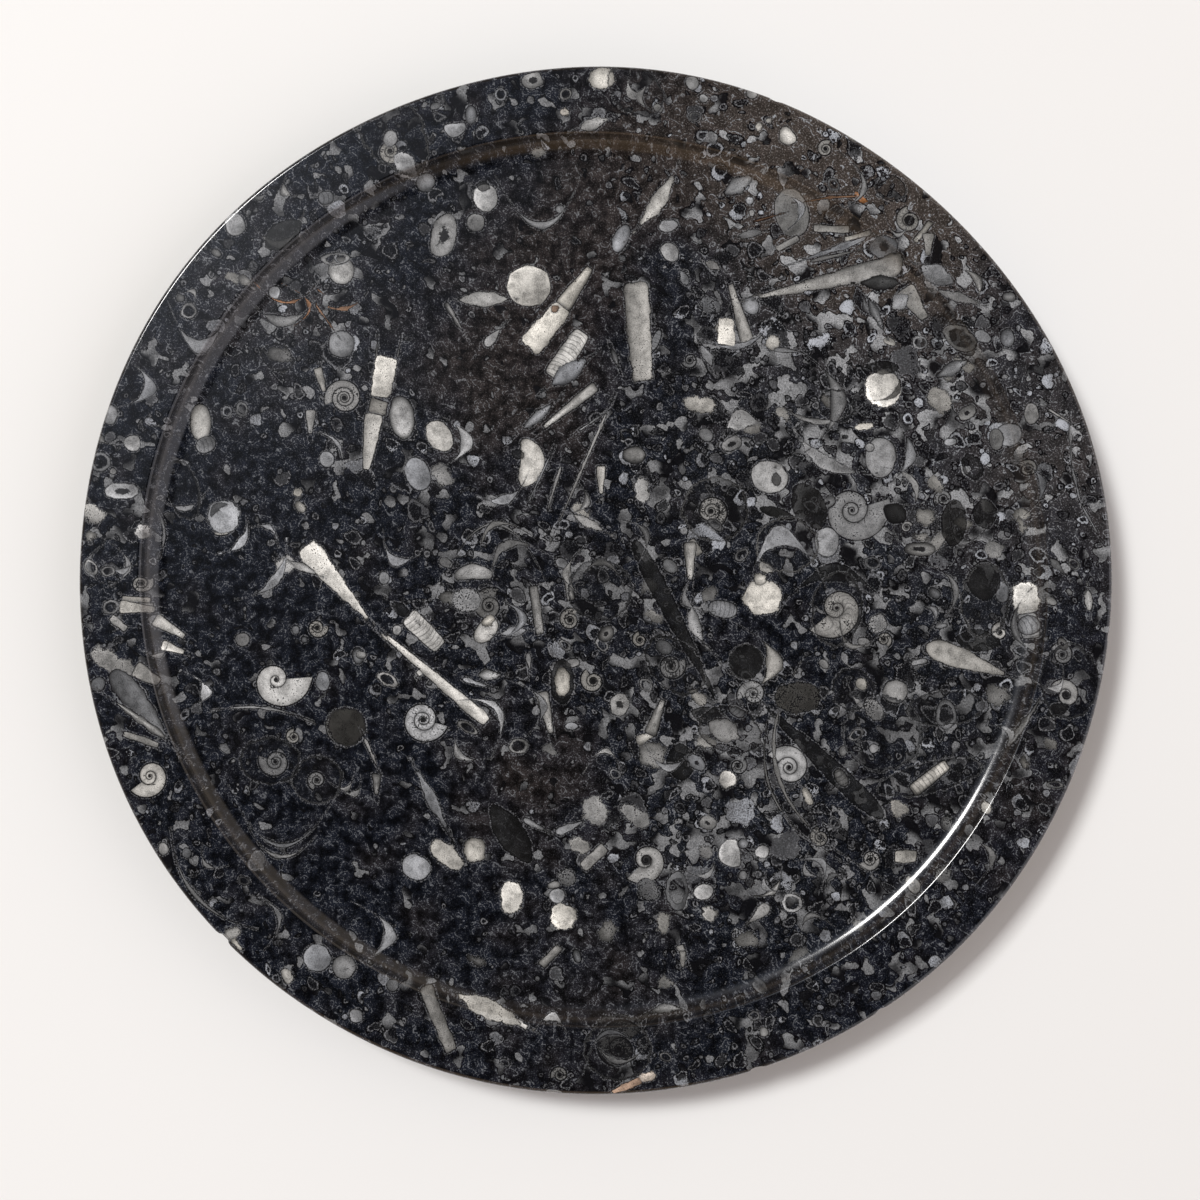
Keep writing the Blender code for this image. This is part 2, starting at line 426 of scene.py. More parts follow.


# one listed shell of a long, round, tapering or bent form. Along is -1 to 1 over its
# length; its half width there is the width, times a taper, times a pinch of both ends; the
# outline is where a rounded norm of along and across is 1. A negative hollow leaves the
# stone behind showing inside
def shellGroup():
    tree, wires, end = newGroup(
        "cut_shell",
        dict(
            colour="Under", vector="Local Form Look Marks",
            value="Grain Cloud Bits Width Pinch Seed Spots",
        ),
        dict(colour="Color", value="Calcite"),
    )
    under, local, form, look, marks, grain, cloud, bits, width, pinch, seed, spots = wires
    u, v, length = local.parts()
    taper, bend, power = form.parts()
    tone, warmth, ragged = look.parts()
    ribs, eye, hollow = marks.parts()
    along = u / length
    square = along * along
    half = (width * (taper * along + 1.0) * (1.0 - pinch * square)).atLeast(0.06)
    across = v - bend * square
    a = along.size().atLeast(0.002)
    b = (across.size() / half).atLeast(0.002)
    norm = (a ** power + b ** power) ** (1.0 / power)
    slopeA = ((a / norm) ** (power - 1.0)) / length
    slopeB = ((b / norm) ** (power - 1.0)) / half
    slope = (slopeA * slopeA + slopeB * slopeB).do("SQRT")
    rough = (grain - 0.5) * 0.5 + (cloud - 0.5) * 1.5
    gap = (norm - 1.0) / slope + rough * ragged
    inside, line, halo, worn = edgeMarks(gap, grain, cloud)
    deep = hollow.size()
    core = (norm - deep + rough * 0.25).smooth(0.03, -0.03) * deep.over(0.01)
    coreLine = ((norm - deep) / slope + rough * 0.8).size().smooth(0.30, 0.08) * deep.over(0.01)
    pupil = (norm - eye + rough * 0.5).smooth(0.06, -0.06) * eye.over(0.01)
    phase = ((u + across * across * 0.10 + (cloud - 0.5) * 1.3) / ribs.atLeast(0.2)).fraction() - 0.5
    septa = (phase.size() * ribs).smooth(0.24, 0.05) * ribs.over(0.01)
    pits = (grain * 0.9 + cloud * 0.6 + spots + (seed - 0.4) * 0.28 * along).smooth(1.06, 1.11)
    rimShade = gap.smooth(-1.5, 0.0) * (seed * 1.1 - 0.35)
    sideways = (across / half).atMost(1.2).atLeast(-1.2)
    slant = (seed - 0.5) * along + ((seed * 7.3).fraction() - 0.5) * sideways
    shade = tone * (cloud.smooth(0.28, 0.70) * 0.60 + grain * 0.60 + bits * 0.65)
    shade = shade * (1.0 - rimShade) * (slant * 0.9 + 1.0).atLeast(0.2)
    pale = vectorNode(tree, "SCALE", calciteRamp(tree, warmth), shade)
    colour = mixed(tree, halo, under, stone["spar"])
    filled = mixed(tree, core.atLeast(pupil).atLeast(pits) * 0.93, pale, stone["mudInside"])
    filled = mixed(tree, (septa * 0.5).atLeast(coreLine * 0.6), filled, stone["line"])
    through = core * hollow.do("LESS_THAN", -0.01)
    dim = tone.do("LESS_THAN", 0.03) * 0.2
    colour = mixed(tree, inside * (1.0 - through * 0.72 - dim), colour, filled)
    colour = mixed(tree, line * worn * shellEdge["lineStrength"], colour, stone["line"])
    feed(tree, colour, end.inputs["Color"])
    feed(tree, inside * (1.0 - core) * (1.0 - pits), end.inputs["Calcite"])
    return tree


# one coiled shell: a logarithmic spiral. Turns counts how often the growth rate fits between
# a point's radius and the mouth's, less the share of a turn from the mouth; its whole part is
# the whorl and its fraction runs from the outer wall to the inner one
def coilGroup():
    tree, wires, end = newGroup(
        "cut_coil",
        dict(colour="Under", vector="Local Look Marks", value="Grain Cloud Bits Growth Seed"),
        dict(colour="Color", value="Calcite"),
    )
    under, local, look, marks, grain, cloud, bits, growth, seed = wires
    u, v, mouth = local.parts()
    tone, warmth, ragged = look.parts()
    chambers, hub, dark = marks.parts()
    rough = (grain - 0.5) + (cloud - 0.5) * 1.2
    radius = (u * u + v * v).do("SQRT").atLeast(0.02)
    turn = (v.do("ARCTAN2", u) / math.tau).fraction()
    rate = growth.do("LOGARITHM", math.e)
    turns = (mouth / radius).do("LOGARITHM", math.e) / rate - turn + rough * ragged / radius
    whorl = turns.do("FLOOR")
    across = turns.fraction()
    pitch = rate * radius
    gap = turns * pitch * -1.0
    inside, line, halo, worn = edgeMarks(gap, grain, cloud)
    lip = v.size().smooth(0.38, 0.08) * u.over(0.0) * turns.size().smooth(1.05, 0.95)
    wall = (across.atMost(1.0 - across) * pitch).smooth(0.28, 0.08)
    age = whorl + turn
    bow = (across - 0.5) * (across - 0.5) * 0.5
    phase = ((age + bow) * chambers).fraction() - 0.5
    apart = phase.size() * radius * math.tau / chambers.atLeast(1.0)
    septa = apart.smooth(0.30, 0.08) * chambers.over(0.5)
    mudPatch = (grain * 0.7 + cloud * 0.8 + dark + (seed - 0.5) * 0.2 * turn).smooth(1.08, 1.14)
    middle = (radius - hub * mouth + rough * 0.5).smooth(0.10, -0.10)
    bulge = 1.0 - (across - 0.45) * (across - 0.45) * 2.2
    shade = tone * (cloud.smooth(0.28, 0.70) * 0.60 + grain * 0.60 + bits * 0.55 + 0.10) * bulge
    pale = vectorNode(tree, "SCALE", calciteRamp(tree, warmth), shade)
    colour = mixed(tree, halo, under, stone["spar"])
    filled = mixed(tree, mudPatch.atLeast(middle) * 0.92, pale, stone["mudInside"])
    filled = mixed(tree, (wall * 0.75).atLeast(septa * 0.45), filled, stone["line"])
    colour = mixed(tree, inside, colour, filled)
    line = line.atLeast(lip * 0.5) * worn
    colour = mixed(tree, line * shellEdge["lineStrength"], colour, stone["line"])
    feed(tree, colour, end.inputs["Color"])
    feed(tree, inside * (1.0 - mudPatch), end.inputs["Calcite"])
    return tree


# the plan is a square of 1200 units with the camera above its middle; x runs right from its
# left side, and y down from its far side
planMiddle = 600
planUnit = 0.2905  # mm to a unit, at the height of the rim
floorReach = 127.0  # mm from the plate's middle, inside which a place is on the floor
floorStretch = 1.0104  # the floor lies deeper, so a unit covers this much more of it


def planPoint(x, y):
    # plan units to mm: offset from the middle, times the unit and the stretch
    eyeX, eyeY = view["centre"][0] / mm, view["centre"][1] / mm
    across, up = (x - planMiddle) * planUnit, (planMiddle - y) * planUnit
    stretch = np.where(np.hypot(across + eyeX, up + eyeY) < floorReach, floorStretch, 1.0)
    return eyeX + across * stretch, eyeY + up * stretch


# shell density, warmth and haze over the slab: plain values, then regions as x, y and reach in
# plan units and what each adds to the three
ground = dict(
    # low warmth gives blue-black mud, partly the stone's colour and partly a painted reflection of the
    # polish's bluish sheen
    plain=(0.30, 0.10, 0.12),
    fade=0.7,  # how fast a region fades with distance
    most=1.3,
    regions=[
        (860, 500, 100, 0.42, 0.05, 0.30),
        (900, 340, 90, 0.26, 0.20, 0.45),
        (760, 380, 80, 0.16, 0.10, 0.16),
        (690, 480, 80, 0.14, 0.10, 0.12),
        (690, 690, 70, 0.26, 0.00, 0.12),
        (765, 770, 60, 0.36, 0.00, 0.20),
        (940, 700, 70, 0.30, 0.00, 0.15),
        (700, 860, 80, 0.30, 0.00, 0.20),
        (600, 840, 60, 0.18, 0.00, 0.08),
        (850, 890, 70, 0.22, 0.00, 0.10),
        (470, 580, 80, 0.16, 0.10, 0.10),
        (620, 600, 80, 0.10, 0.10, 0.08),
        (330, 390, 80, 0.10, 0.00, 0.25),
        (760, 600, 55, -0.38, 0.00, -0.10),
        (850, 710, 50, -0.20, 0.00, -0.05),
        (560, 240, 70, -0.40, 0.80, 0.06),
        (520, 390, 80, -0.40, 0.80, 0.06),
        (450, 330, 60, -0.30, 0.20, 0.02),
        (540, 775, 60, -0.40, 0.60, 0.04),
        (430, 850, 100, -0.30, 0.10, -0.08),
        (380, 740, 70, -0.16, 0.00, -0.05),
        (260, 590, 90, -0.35, 0.00, -0.08),
        (300, 850, 80, -0.30, 0.00, -0.06),
        (240, 420, 60, -0.25, 0.00, -0.02),
        (560, 1000, 110, -0.20, 0.10, -0.04),
        (870, 180, 120, -0.05, 1.50, 1.25),
        (760, 130, 70, 0.00, 1.00, 0.50),
        (650, 140, 50, 0.00, 1.20, 0.15),
        (1050, 470, 110, 0.00, 0.60, 0.80),
        (1030, 820, 90, -0.04, 0.40, 0.10),
        (560, 1070, 120, 0.02, 0.20, 0.06),
        (190, 270, 100, -0.02, 0.25, 0.26),
        (620, 930, 50, -0.30, 0.20, -0.06),
        (750, 620, 30, -0.30, 0.10, -0.05),
        (300, 320, 60, 0.00, 0.30, 0.20),
    ],
)

# how each kind of cut shell is drawn, where it differs from the plain kind. Lengths are in mm;
# power squares the outline, eye and hollow are shares of the way out to it
plainKind = dict(taper=0, power=2, pinch=0, warmth=0.15, ragged=0.3, ribs=0, eye=0, hollow=0, spots=0)
kinds = dict(
    egg=dict(power=2.1, ragged=0.7),
    ragged=dict(power=2.4, ragged=2.6, warmth=0.30, spots=0.14),
    white=dict(power=2.2, ragged=1.5, warmth=0.44, spots=0.05),
    rod=dict(power=7.0, ragged=0.6, warmth=0.36, spots=0.08),
    cone=dict(power=6.0, taper=-0.45, ragged=0.5, warmth=0.32, spots=0.09),
    spike=dict(power=2.6, taper=-0.62, pinch=0.25, ragged=0.8),
    ribbed=dict(power=6.0, taper=-0.08, ribs=1.3, warmth=0.20),
    combed=dict(pinch=0.50, ribs=0.9, ragged=1.6),
    tusk=dict(power=5.0, taper=-0.74, ragged=1.1, warmth=0.32, spots=0.12),
    leaf=dict(pinch=0.55, ragged=1.2, spots=0.10),
    crescent=dict(pinch=0.80, ragged=0.9, spots=0.08),
    ring=dict(hollow=-0.66, ragged=1.0),
    thin=dict(hollow=-0.95, ragged=1.6),
    eyed=dict(power=2.1, eye=0.36, ragged=1.0),
    striped=dict(power=2.2, ribs=1.3),
    pitted=dict(power=7.0, taper=-0.12, spots=0.11, ragged=1.0, warmth=0.30),
    mosaic=dict(power=2.2, spots=0.26, ragged=1.2),
    black=dict(pinch=0.30, ragged=1.0),
)

# cut shells by kind, in plan units: both ends of the axis, width, sideways bend of the ends,
# then tone, and a warmth may follow
shells = dict(
    egg=[
        (444, 131, 466, 129, 14, 3, 0.46, 0.10), (881, 438, 881, 478, 31, 0, 0.50),
        (727, 840, 731, 868, 22, 5, 0.62, 0.20), (738, 842, 748, 846, 10, 0, 0.55),
        (694, 894, 713, 890, 16, 0, 0.60, 0.20), (575, 950, 580, 963, 8, 0, 0.28),
        (534, 439, 531, 487, 25, -7, 0.80, 0.38), (110, 405, 110, 424, 14, 0, 0.42),
        (328, 346, 354, 342, 27, 0, 0.42, 0.10), (268, 292, 280, 294, 13, 0, 0.42),
        (781, 129, 794, 144, 15, 2, 0.90, 0.36), (686, 83, 699, 83, 14, 0, 0.40),
        (746, 93, 758, 93, 12, 0, 0.40), (788, 187, 800, 237, 34, 0, 0.24),
        (392, 130, 389, 146, 14, 0, 0.62), (556, 208, 564, 210, 8, 0, 0.45),
        (420, 172, 430, 190, 20, 0, 0.38), (341, 257, 341, 285, 26, 0, 0.62, 0.25),
        (507, 286, 551, 286, 41, 0, 0.62, 0.40), (752, 470, 787, 484, 32, 0, 0.60, 0.20),
        (483, 184, 488, 211, 25, 0, 0.66, 0.20), (471, 105, 471, 123, 11, 0, 0.40),
        (235, 214, 235, 236, 19, 0, 0.46), (124, 444, 140, 444, 16, 0, 0.50),
        (200, 405, 200, 442, 21, 0, 0.54, 0.34), (327, 452, 327, 468, 15, 0, 0.40),
        (384, 572, 384, 584, 11, 0, 0.42), (284, 560, 284, 572, 11, 0, 0.45),
        (243, 634, 243, 648, 14, 0, 0.25), (412, 458, 424, 490, 24, 0, 0.44),
        (399, 396, 405, 438, 25, 0, 0.60, 0.20), (430, 422, 449, 450, 24, 0, 0.70, 0.35),
        (476, 213, 476, 231, 18, 0, 0.22), (628, 225, 615, 252, 15, 0, 0.62),
        (664, 245, 677, 260, 16, 0, 0.55), (660, 228, 679, 224, 12, 0, 0.42),
        (751, 197, 751, 205, 7, 0, 0.60), (753, 210, 753, 217, 6, 0, 0.50),
        (745, 300, 758, 312, 16, 0, 0.55), (976, 334, 992, 342, 11, 0, 0.34),
        (1002, 297, 1016, 297, 10, 0, 0.32), (1008, 330, 1008, 348, 14, 0, 0.40),
        (945, 444, 957, 443, 8, 0, 0.50), (1009, 424, 1009, 448, 23, 0, 0.44),
        (996, 430, 998, 452, 14, 0, 0.25), (1032, 404, 1032, 426, 14, 0, 0.30),
        (936, 388, 936, 410, 16, 0, 0.30), (634, 447, 634, 463, 24, 0, 0.30),
        (827, 527, 827, 557, 24, 0, 0.55), (935, 628, 947, 626, 6, 0, 0.45),
        (1003, 582, 1003, 604, 14, 0, 0.36), (911, 665, 927, 661, 6, 0, 0.42),
        (883, 690, 907, 694, 24, 0, 0.46), (873, 744, 873, 754, 9, 0, 0.85),
        (843, 746, 843, 756, 8, 0, 0.40), (914, 879, 914, 895, 12, 0, 0.35),
        (755, 852, 769, 852, 13, 0, 0.60), (743, 870, 743, 880, 8, 0, 0.45),
        (764, 1027, 764, 1037, 8, 0, 0.60), (323, 672, 323, 692, 13, 0, 0.42),
        (358, 648, 358, 664, 12, 0, 0.30), (565, 726, 579, 726, 8, 0, 0.45),
        (550, 896, 565, 896, 15, 0, 0.50), (548, 886, 560, 884, 8, 0, 0.42),
        (404, 861, 429, 875, 25, 0, 0.66), (98, 677, 98, 691, 14, 0, 0.26),
        (326, 727, 366, 727, 38, 0, 0.045, 0.50), (318, 946, 318, 972, 28, 0, 0.42),
        (339, 958, 351, 978, 23, 0, 0.36), (388, 986, 400, 986, 12, 0, 0.30),
        (349, 1016, 363, 1016, 14, 0, 0.32), (487, 1021, 501, 1021, 10, 0, 0.40),
        (163, 843, 163, 855, 10, 0, 0.34), (187, 848, 187, 858, 9, 0, 0.28),
        (96, 648, 96, 658, 9, 0, 0.40), (397, 625, 397, 635, 9, 0, 0.45),
        (356, 655, 366, 655, 7, 0, 0.55), (296, 626, 296, 634, 7, 0, 0.35),
        (304, 637, 304, 643, 6, 0, 0.30), (476, 641, 496, 620, 19, 0, 0.80, 0.30),
        (455, 572, 492, 571, 16, -4, 0.58), (657, 642, 671, 652, 13, 0, 0.30),
        (556, 560, 568, 566, 9, 0, 0.28), (700, 430, 712, 440, 12, 0, 0.30),
        (664, 560, 676, 572, 12, 0, 0.26), (868, 444, 872, 452, 9, 0, 0.40),
        (440, 560, 452, 566, 9, 0, 0.24), (566, 664, 580, 662, 9, 0, 0.34),
        (1047, 600, 1057, 606, 8, 0, 0.30), (1066, 590, 1072, 596, 6, 0, 0.28),
        (700, 95, 708, 101, 8, 0, 0.40), (655, 105, 663, 111, 7, 0, 0.34),
        (430, 108, 440, 104, 7, 0, 0.26), (350, 120, 358, 126, 7, 0, 0.24),
        (212, 250, 220, 256, 7, 0, 0.26), (176, 296, 184, 300, 8, 0, 0.22),
        (110, 470, 116, 474, 6, 0, 0.30), (858, 640, 870, 644, 9, 0, 0.30),
        (820, 660, 828, 668, 8, 0, 0.32), (930, 590, 940, 598, 9, 0, 0.26),
    ],
    ragged=[
        (916, 514, 934, 522, 14, 0, 0.50), (914, 538, 930, 541, 11, 0, 0.50),
        (925, 550, 945, 536, 14, 0, 0.36), (988, 546, 1002, 556, 16, 0, 0.45),
        (1018, 512, 1030, 522, 14, 0, 0.42), (930, 392, 952, 410, 20, 0, 0.42),
        (944, 650, 974, 662, 16, 0, 0.74, 0.36), (268, 352, 292, 358, 14, 0, 0.30),
        (92, 652, 134, 676, 18, 0, 0.34), (226, 274, 238, 282, 9, 0, 0.34),
        (240, 278, 250, 284, 9, 0, 0.38), (277, 571, 293, 560, 17, 0, 0.80),
        (532, 153, 546, 153, 8, 0, 0.35), (84, 507, 102, 521, 15, 0, 0.50),
        (90, 531, 92, 541, 9, 0, 0.42), (143, 525, 140, 541, 11, 0, 0.66),
        (434, 468, 450, 484, 16, 0, 0.42), (575, 505, 590, 520, 10, 0, 0.34),
        (684, 402, 716, 408, 16, 0, 0.52), (640, 478, 645, 504, 15, 0, 0.60),
        (986, 696, 1008, 696, 21, 0, 0.28), (697, 743, 716, 743, 12, 0, 0.36),
        (640, 748, 664, 762, 26, 0, 0.34), (664, 914, 664, 932, 12, 0, 0.38),
        (736, 940, 758, 940, 14, 0, 0.26), (888, 806, 908, 812, 14, 0, 0.34),
        (592, 797, 598, 824, 24, 0, 0.46), (572, 840, 588, 852, 14, 0, 0.40),
        (622, 806, 650, 826, 16, 0, 0.34), (600, 930, 616, 932, 20, 0, 0.24),
        (703, 911, 716, 916, 12, 0, 0.50), (546, 746, 556, 756, 9, 0, 0.26),
        (690, 690, 706, 706, 12, 0, 0.42), (440, 596, 458, 600, 12, 0, 0.24),
        (956, 360, 972, 374, 10, 0, 0.30), (940, 372, 952, 380, 8, 0, 0.34),
        (700, 600, 716, 590, 12, 0, 0.24), (640, 590, 656, 584, 12, 0, 0.20),
        (820, 395, 832, 405, 10, 0, 0.26), (648, 610, 660, 622, 10, 0, 0.24),
        (956, 520, 970, 528, 12, 0, 0.30), (1020, 520, 1030, 534, 10, 0, 0.28),
        (930, 480, 944, 490, 12, 0, 0.34), (980, 500, 990, 512, 10, 0, 0.32),
        (776, 410, 790, 418, 11, 0, 0.34), (744, 430, 760, 426, 12, 0, 0.30),
        (222, 936, 240, 930, 12, 0, 0.55), (160, 880, 172, 890, 8, 0, 0.22),
        (470, 958, 484, 964, 8, 0, 0.20), (660, 980, 676, 984, 9, 0, 0.24),
        (790, 960, 806, 950, 9, 0, 0.24), (850, 930, 862, 920, 9, 0, 0.26),
        (700, 848, 712, 858, 11, 0, 0.32), (1046, 740, 1056, 748, 9, 0, 0.24),
        (1020, 760, 1028, 770, 8, 0, 0.22), (846, 130, 856, 138, 8, 0, 0.26),
    ],
    white=[
        (857, 680, 866, 688, 11, 0, 0.62), (757, 127, 763, 127, 6, 0, 0.70),
        (766, 121, 772, 121, 6, 0, 0.70), (857, 195, 867, 202, 7, 0, 0.60, 1.00),
        (400, 152, 410, 176, 20, 0, 0.62, 0.15), (590, 78, 614, 78, 22, 0, 0.80),
        (207, 518, 239, 518, 33, 0, 0.72, 0.08), (766, 344, 780, 342, 14, 0, 0.72),
        (866, 388, 902, 392, 36, 0, 0.90), (744, 597, 782, 597, 36, 0, 0.86, 0.46),
        (754, 579, 767, 579, 11, 0, 0.86), (637, 742, 654, 732, 10, 0, 0.70),
        (1025, 583, 1026, 616, 25, 0, 0.86), (787, 694, 798, 712, 14, 0, 0.66),
        (728, 770, 728, 788, 16, 0, 0.74), (432, 843, 462, 868, 20, 0, 0.54),
        (475, 838, 475, 863, 21, 0, 0.64), (512, 881, 512, 914, 23, 0, 0.82),
        (551, 915, 576, 917, 25, 0, 0.74), (640, 1078, 655, 1075, 8, 0, 0.95, 0.62),
        (986, 803, 986, 815, 9, 0, 0.66), (908, 888, 914, 880, 8, 0, 0.70),
        (803, 789, 811, 805, 8, 0, 0.60), (560, 112, 570, 112, 7, 0, 0.50),
        (293, 493, 302, 493, 6, 0, 0.55), (297, 502, 305, 512, 9, 0, 0.55),
        (562, 668, 562, 696, 17, 0, 0.64), (482, 624, 494, 618, 9, 0, 0.78),
        (455, 605, 477, 600, 13, 0, 0.48), (886, 340, 896, 346, 8, 0, 0.45),
        (855, 428, 874, 426, 7, 0, 0.92), (716, 325, 726, 330, 9, 0, 0.60),
        (283, 968, 290, 984, 10, 0, 0.60), (760, 566, 772, 572, 9, 0, 0.45),
        (232, 940, 242, 950, 6, 0, 0.62),
    ],
    rod=[
        (815, 229, 850, 231, 7, 0, 0.36), (846, 240, 872, 232, 5, 0, 0.40),
        (778, 250, 800, 238, 6, 0, 0.34), (533, 586, 540, 634, 9, 0, 0.42),
        (568, 580, 571, 600, 8, 0, 0.45), (612, 1094, 640, 1080, 7, 0, 0.62, 0.80),
        (428, 984, 452, 1051, 13, 0, 0.30), (123, 734, 159, 747, 6, 0, 0.34),
        (583, 868, 605, 847, 11, 0, 0.42), (111, 618, 126, 631, 7, 0, 0.45),
        (148, 603, 122, 601, 8, 0, 0.30), (542, 966, 560, 947, 8, 0, 0.42),
        (894, 857, 916, 857, 12, 0, 0.42), (133, 607, 150, 607, 6, 0, 0.40),
        (380, 400, 376, 414, 18, 0, 0.30), (420, 668, 424, 672, 13, 0, 0.60),
        (700, 555, 690, 540, 9, 0, 0.30), (931, 222, 916, 243, 6, 0, 0.40),
        (515, 1021, 528, 1028, 5, 0, 0.90),
    ],
    cone=[
        (596, 386, 544, 427, 12, 0, 0.74, 0.30), (317, 368, 324, 392, 10, 0, 0.45),
        (374, 414, 366, 470, 20, 0, 0.62), (680, 945, 686, 960, 8, 0, 0.50),
        (749, 346, 731, 285, 15, 0, 0.52), (562, 307, 590, 268, 19, 0, 0.66, 0.50),
        (601, 466, 601, 494, 10, 0, 0.55), (650, 735, 663, 700, 14, 0, 0.45),
        (541, 692, 551, 733, 15, 0, 0.52), (310, 410, 310, 434, 11, 0, 0.44),
        (690, 542, 690, 580, 14, 0, 0.60), (158, 647, 184, 654, 11, 0, 0.76),
        (151, 621, 184, 638, 14, 0, 0.74), (377, 774, 377, 795, 10, 0, 0.30),
        (487, 722, 387, 637, 14, 0, 0.94, 0.36), (120, 608, 151, 611, 14, 0, 0.50),
        (929, 234, 929, 256, 12, 0, 0.34), (683, 951, 683, 967, 7, 0, 0.44),
        (135, 670, 158, 684, 18, 0, 0.36), (905, 290, 926, 320, 22, 0, 0.36),
    ],
    spike=[
        (1049, 410, 1072, 424, 4, 0, 0.50), (1070, 424, 1072, 466, 3, 0, 0.35),
        (1071, 464, 1082, 508, 4, 0, 0.60), (1082, 506, 1098, 534, 4, 0, 0.55),
        (926, 647, 1004, 675, 32, 0, 0.50, 0.36), (768, 906, 750, 922, 16, 0, 0.42),
        (376, 362, 377, 342, 3, 0, 0.30), (397, 358, 400, 342, 3, 0, 0.30),
        (561, 466, 550, 502, 4, 0, 0.50), (485, 346, 500, 329, 14, 0, 0.42),
        (316, 306, 334, 331, 3, 0, 0.32, 0.90), (316, 289, 324, 295, 3, 0, 0.50, 0.95),
        (858, 197, 808, 199, 3, 0, 0.40, 0.90), (755, 222, 780, 215, 3, 0, 0.35, 0.90),
        (112, 672, 168, 741, 34, 0, 0.24), (165, 739, 116, 703, 10, 0, 0.58),
        (606, 414, 560, 520, 4, 0, 0.42), (549, 458, 528, 503, 3, 0, 0.40),
        (580, 430, 598, 418, 3, 0, 0.45), (463, 679, 487, 686, 5, 0, 0.62),
        (365, 739, 377, 766, 4, 0, 0.55), (528, 654, 530, 670, 6, 0, 0.46),
        (446, 303, 462, 330, 8, 0, 0.40), (634, 540, 714, 695, 24, 0, 0.02),
        (882, 818, 766, 707, 28, 0, 0.02), (556, 833, 582, 822, 11, 0, 0.50),
        (523, 819, 543, 829, 9, 0, 0.46), (775, 350, 800, 352, 7, 0, 0.30),
        (1012, 745, 1040, 700, 6, 0, 0.20), (866, 240, 800, 262, 8, 0, 0.34),
        (812, 262, 856, 252, 6, 0, 0.30),
    ],
    ribbed=[
        (552, 377, 583, 332, 21, 0, 0.84, 0.30), (408, 616, 440, 647, 20, 0, 0.68),
        (912, 792, 947, 765, 14, 0, 0.92, 0.44), (1026, 615, 1034, 640, 18, 0, 0.55),
    ],
    combed=[
        (165, 697, 226, 772, 31, 0, 0.25, 0.40),
    ],
    tusk=[
        (905, 262, 760, 297, 26, 0, 0.50, 0.30), (305, 547, 367, 618, 27, 0, 0.90, 0.38),
    ],
    leaf=[
        (800, 448, 852, 478, 14, 6, 0.42), (938, 378, 968, 362, 13, 0, 0.45),
        (1088, 590, 1090, 612, 9, 0, 0.62), (653, 1008, 681, 1010, 9, -2, 0.42),
        (460, 994, 522, 1025, 16, 0, 0.60, 0.40), (574, 515, 602, 530, 10, 0, 0.50),
        (500, 634, 527, 630, 9, 0, 0.60), (689, 607, 700, 642, 13, 3, 0.58),
        (726, 422, 756, 416, 20, -6, 0.42), (675, 178, 643, 226, 15, -2, 0.70, 0.35),
        (580, 129, 608, 119, 12, 0, 0.60), (460, 300, 508, 299, 15, 0, 0.60),
        (551, 385, 586, 360, 18, 0, 0.50, 0.05), (523, 429, 551, 405, 10, 0, 0.62),
        (725, 194, 753, 178, 16, 0, 0.48), (893, 310, 909, 297, 15, 0, 0.66),
        (708, 722, 740, 738, 24, 0, 0.50), (478, 675, 500, 675, 12, 0, 0.72),
        (418, 773, 446, 827, 10, 0, 0.34), (862, 284, 901, 284, 15, 0, 0.10),
        (940, 292, 978, 304, 10, 0, 0.28), (922, 268, 954, 284, 19, 0, 0.34, 0.10),
        (740, 236, 762, 232, 9, 0, 0.30), (1050, 560, 1062, 572, 8, 0, 0.24),
        (870, 300, 884, 330, 9, 0, 0.36), (702, 346, 712, 366, 9, 0, 0.34),
        (612, 350, 618, 366, 6, 0, 0.30), (680, 270, 690, 286, 8, 0, 0.30),
        (706, 262, 722, 270, 8, 0, 0.30),
    ],
    crescent=[
        (776, 643, 774, 684, 17, -12, 0.50, 0.36), (336, 311, 356, 306, 2.5, 2, 0.40, 0.90),
        (888, 405, 906, 382, 5, 7, 0.02), (914, 440, 908, 474, 12, -6, 0.50),
        (763, 899, 782, 884, 7, 4, 0.62), (590, 494, 584, 512, 7, -5, 0.60),
        (566, 560, 568, 590, 8, 6, 0.42), (86, 553, 88, 580, 9, 8, 0.50),
        (130, 556, 127, 582, 6, -7, 0.42), (228, 706, 296, 712, 3, -4, 0.40),
        (269, 303, 303, 303, 3, 6, 0.45, 0.95), (309, 296, 309, 320, 3, -7, 0.50, 0.95),
        (262, 322, 303, 322, 12, 8, 0.38), (280, 186, 288, 198, 8, 4, 0.50),
        (262, 247, 297, 243, 8, 12, 0.34), (188, 288, 198, 296, 6, -5, 0.42),
        (776, 190, 792, 238, 7, 8, 0.55), (622, 84, 640, 104, 8, 9, 0.52),
        (640, 86, 640, 108, 6, 8, 0.45), (153, 372, 146, 406, 13, -14, 0.50),
        (207, 684, 207, 703, 10, -5, 0.78), (115, 575, 131, 571, 6, 4, 0.46),
        (163, 516, 165, 551, 4, -3, 0.40), (180, 347, 217, 347, 13, 17, 0.52),
        (458, 524, 530, 524, 4, -28, 0.36), (490, 505, 520, 495, 9, 5, 0.50),
        (804, 572, 866, 572, 18, -12, 0.02), (754, 539, 806, 533, 20, -24, 0.66),
        (327, 431, 346, 455, 4, -5, 0.50), (467, 424, 467, 460, 13, -13, 0.76),
        (174, 511, 196, 508, 6, 3, 0.55), (234, 554, 250, 532, 8, 4, 0.84),
        (262, 524, 277, 533, 5, -3, 0.70), (290, 562, 316, 574, 8, 0, 0.78),
        (290, 562, 262, 598, 9, -6, 0.50), (383, 556, 408, 566, 10, 8, 0.62),
        (519, 227, 567, 224, 8, 16, 0.46), (716, 352, 766, 340, 6, 8, 0.42),
        (790, 420, 846, 424, 6, 8, 0.40), (838, 372, 840, 430, 16, -12, 0.42),
        (803, 192, 806, 222, 6, -10, 0.50), (868, 172, 862, 206, 6, -9, 0.40),
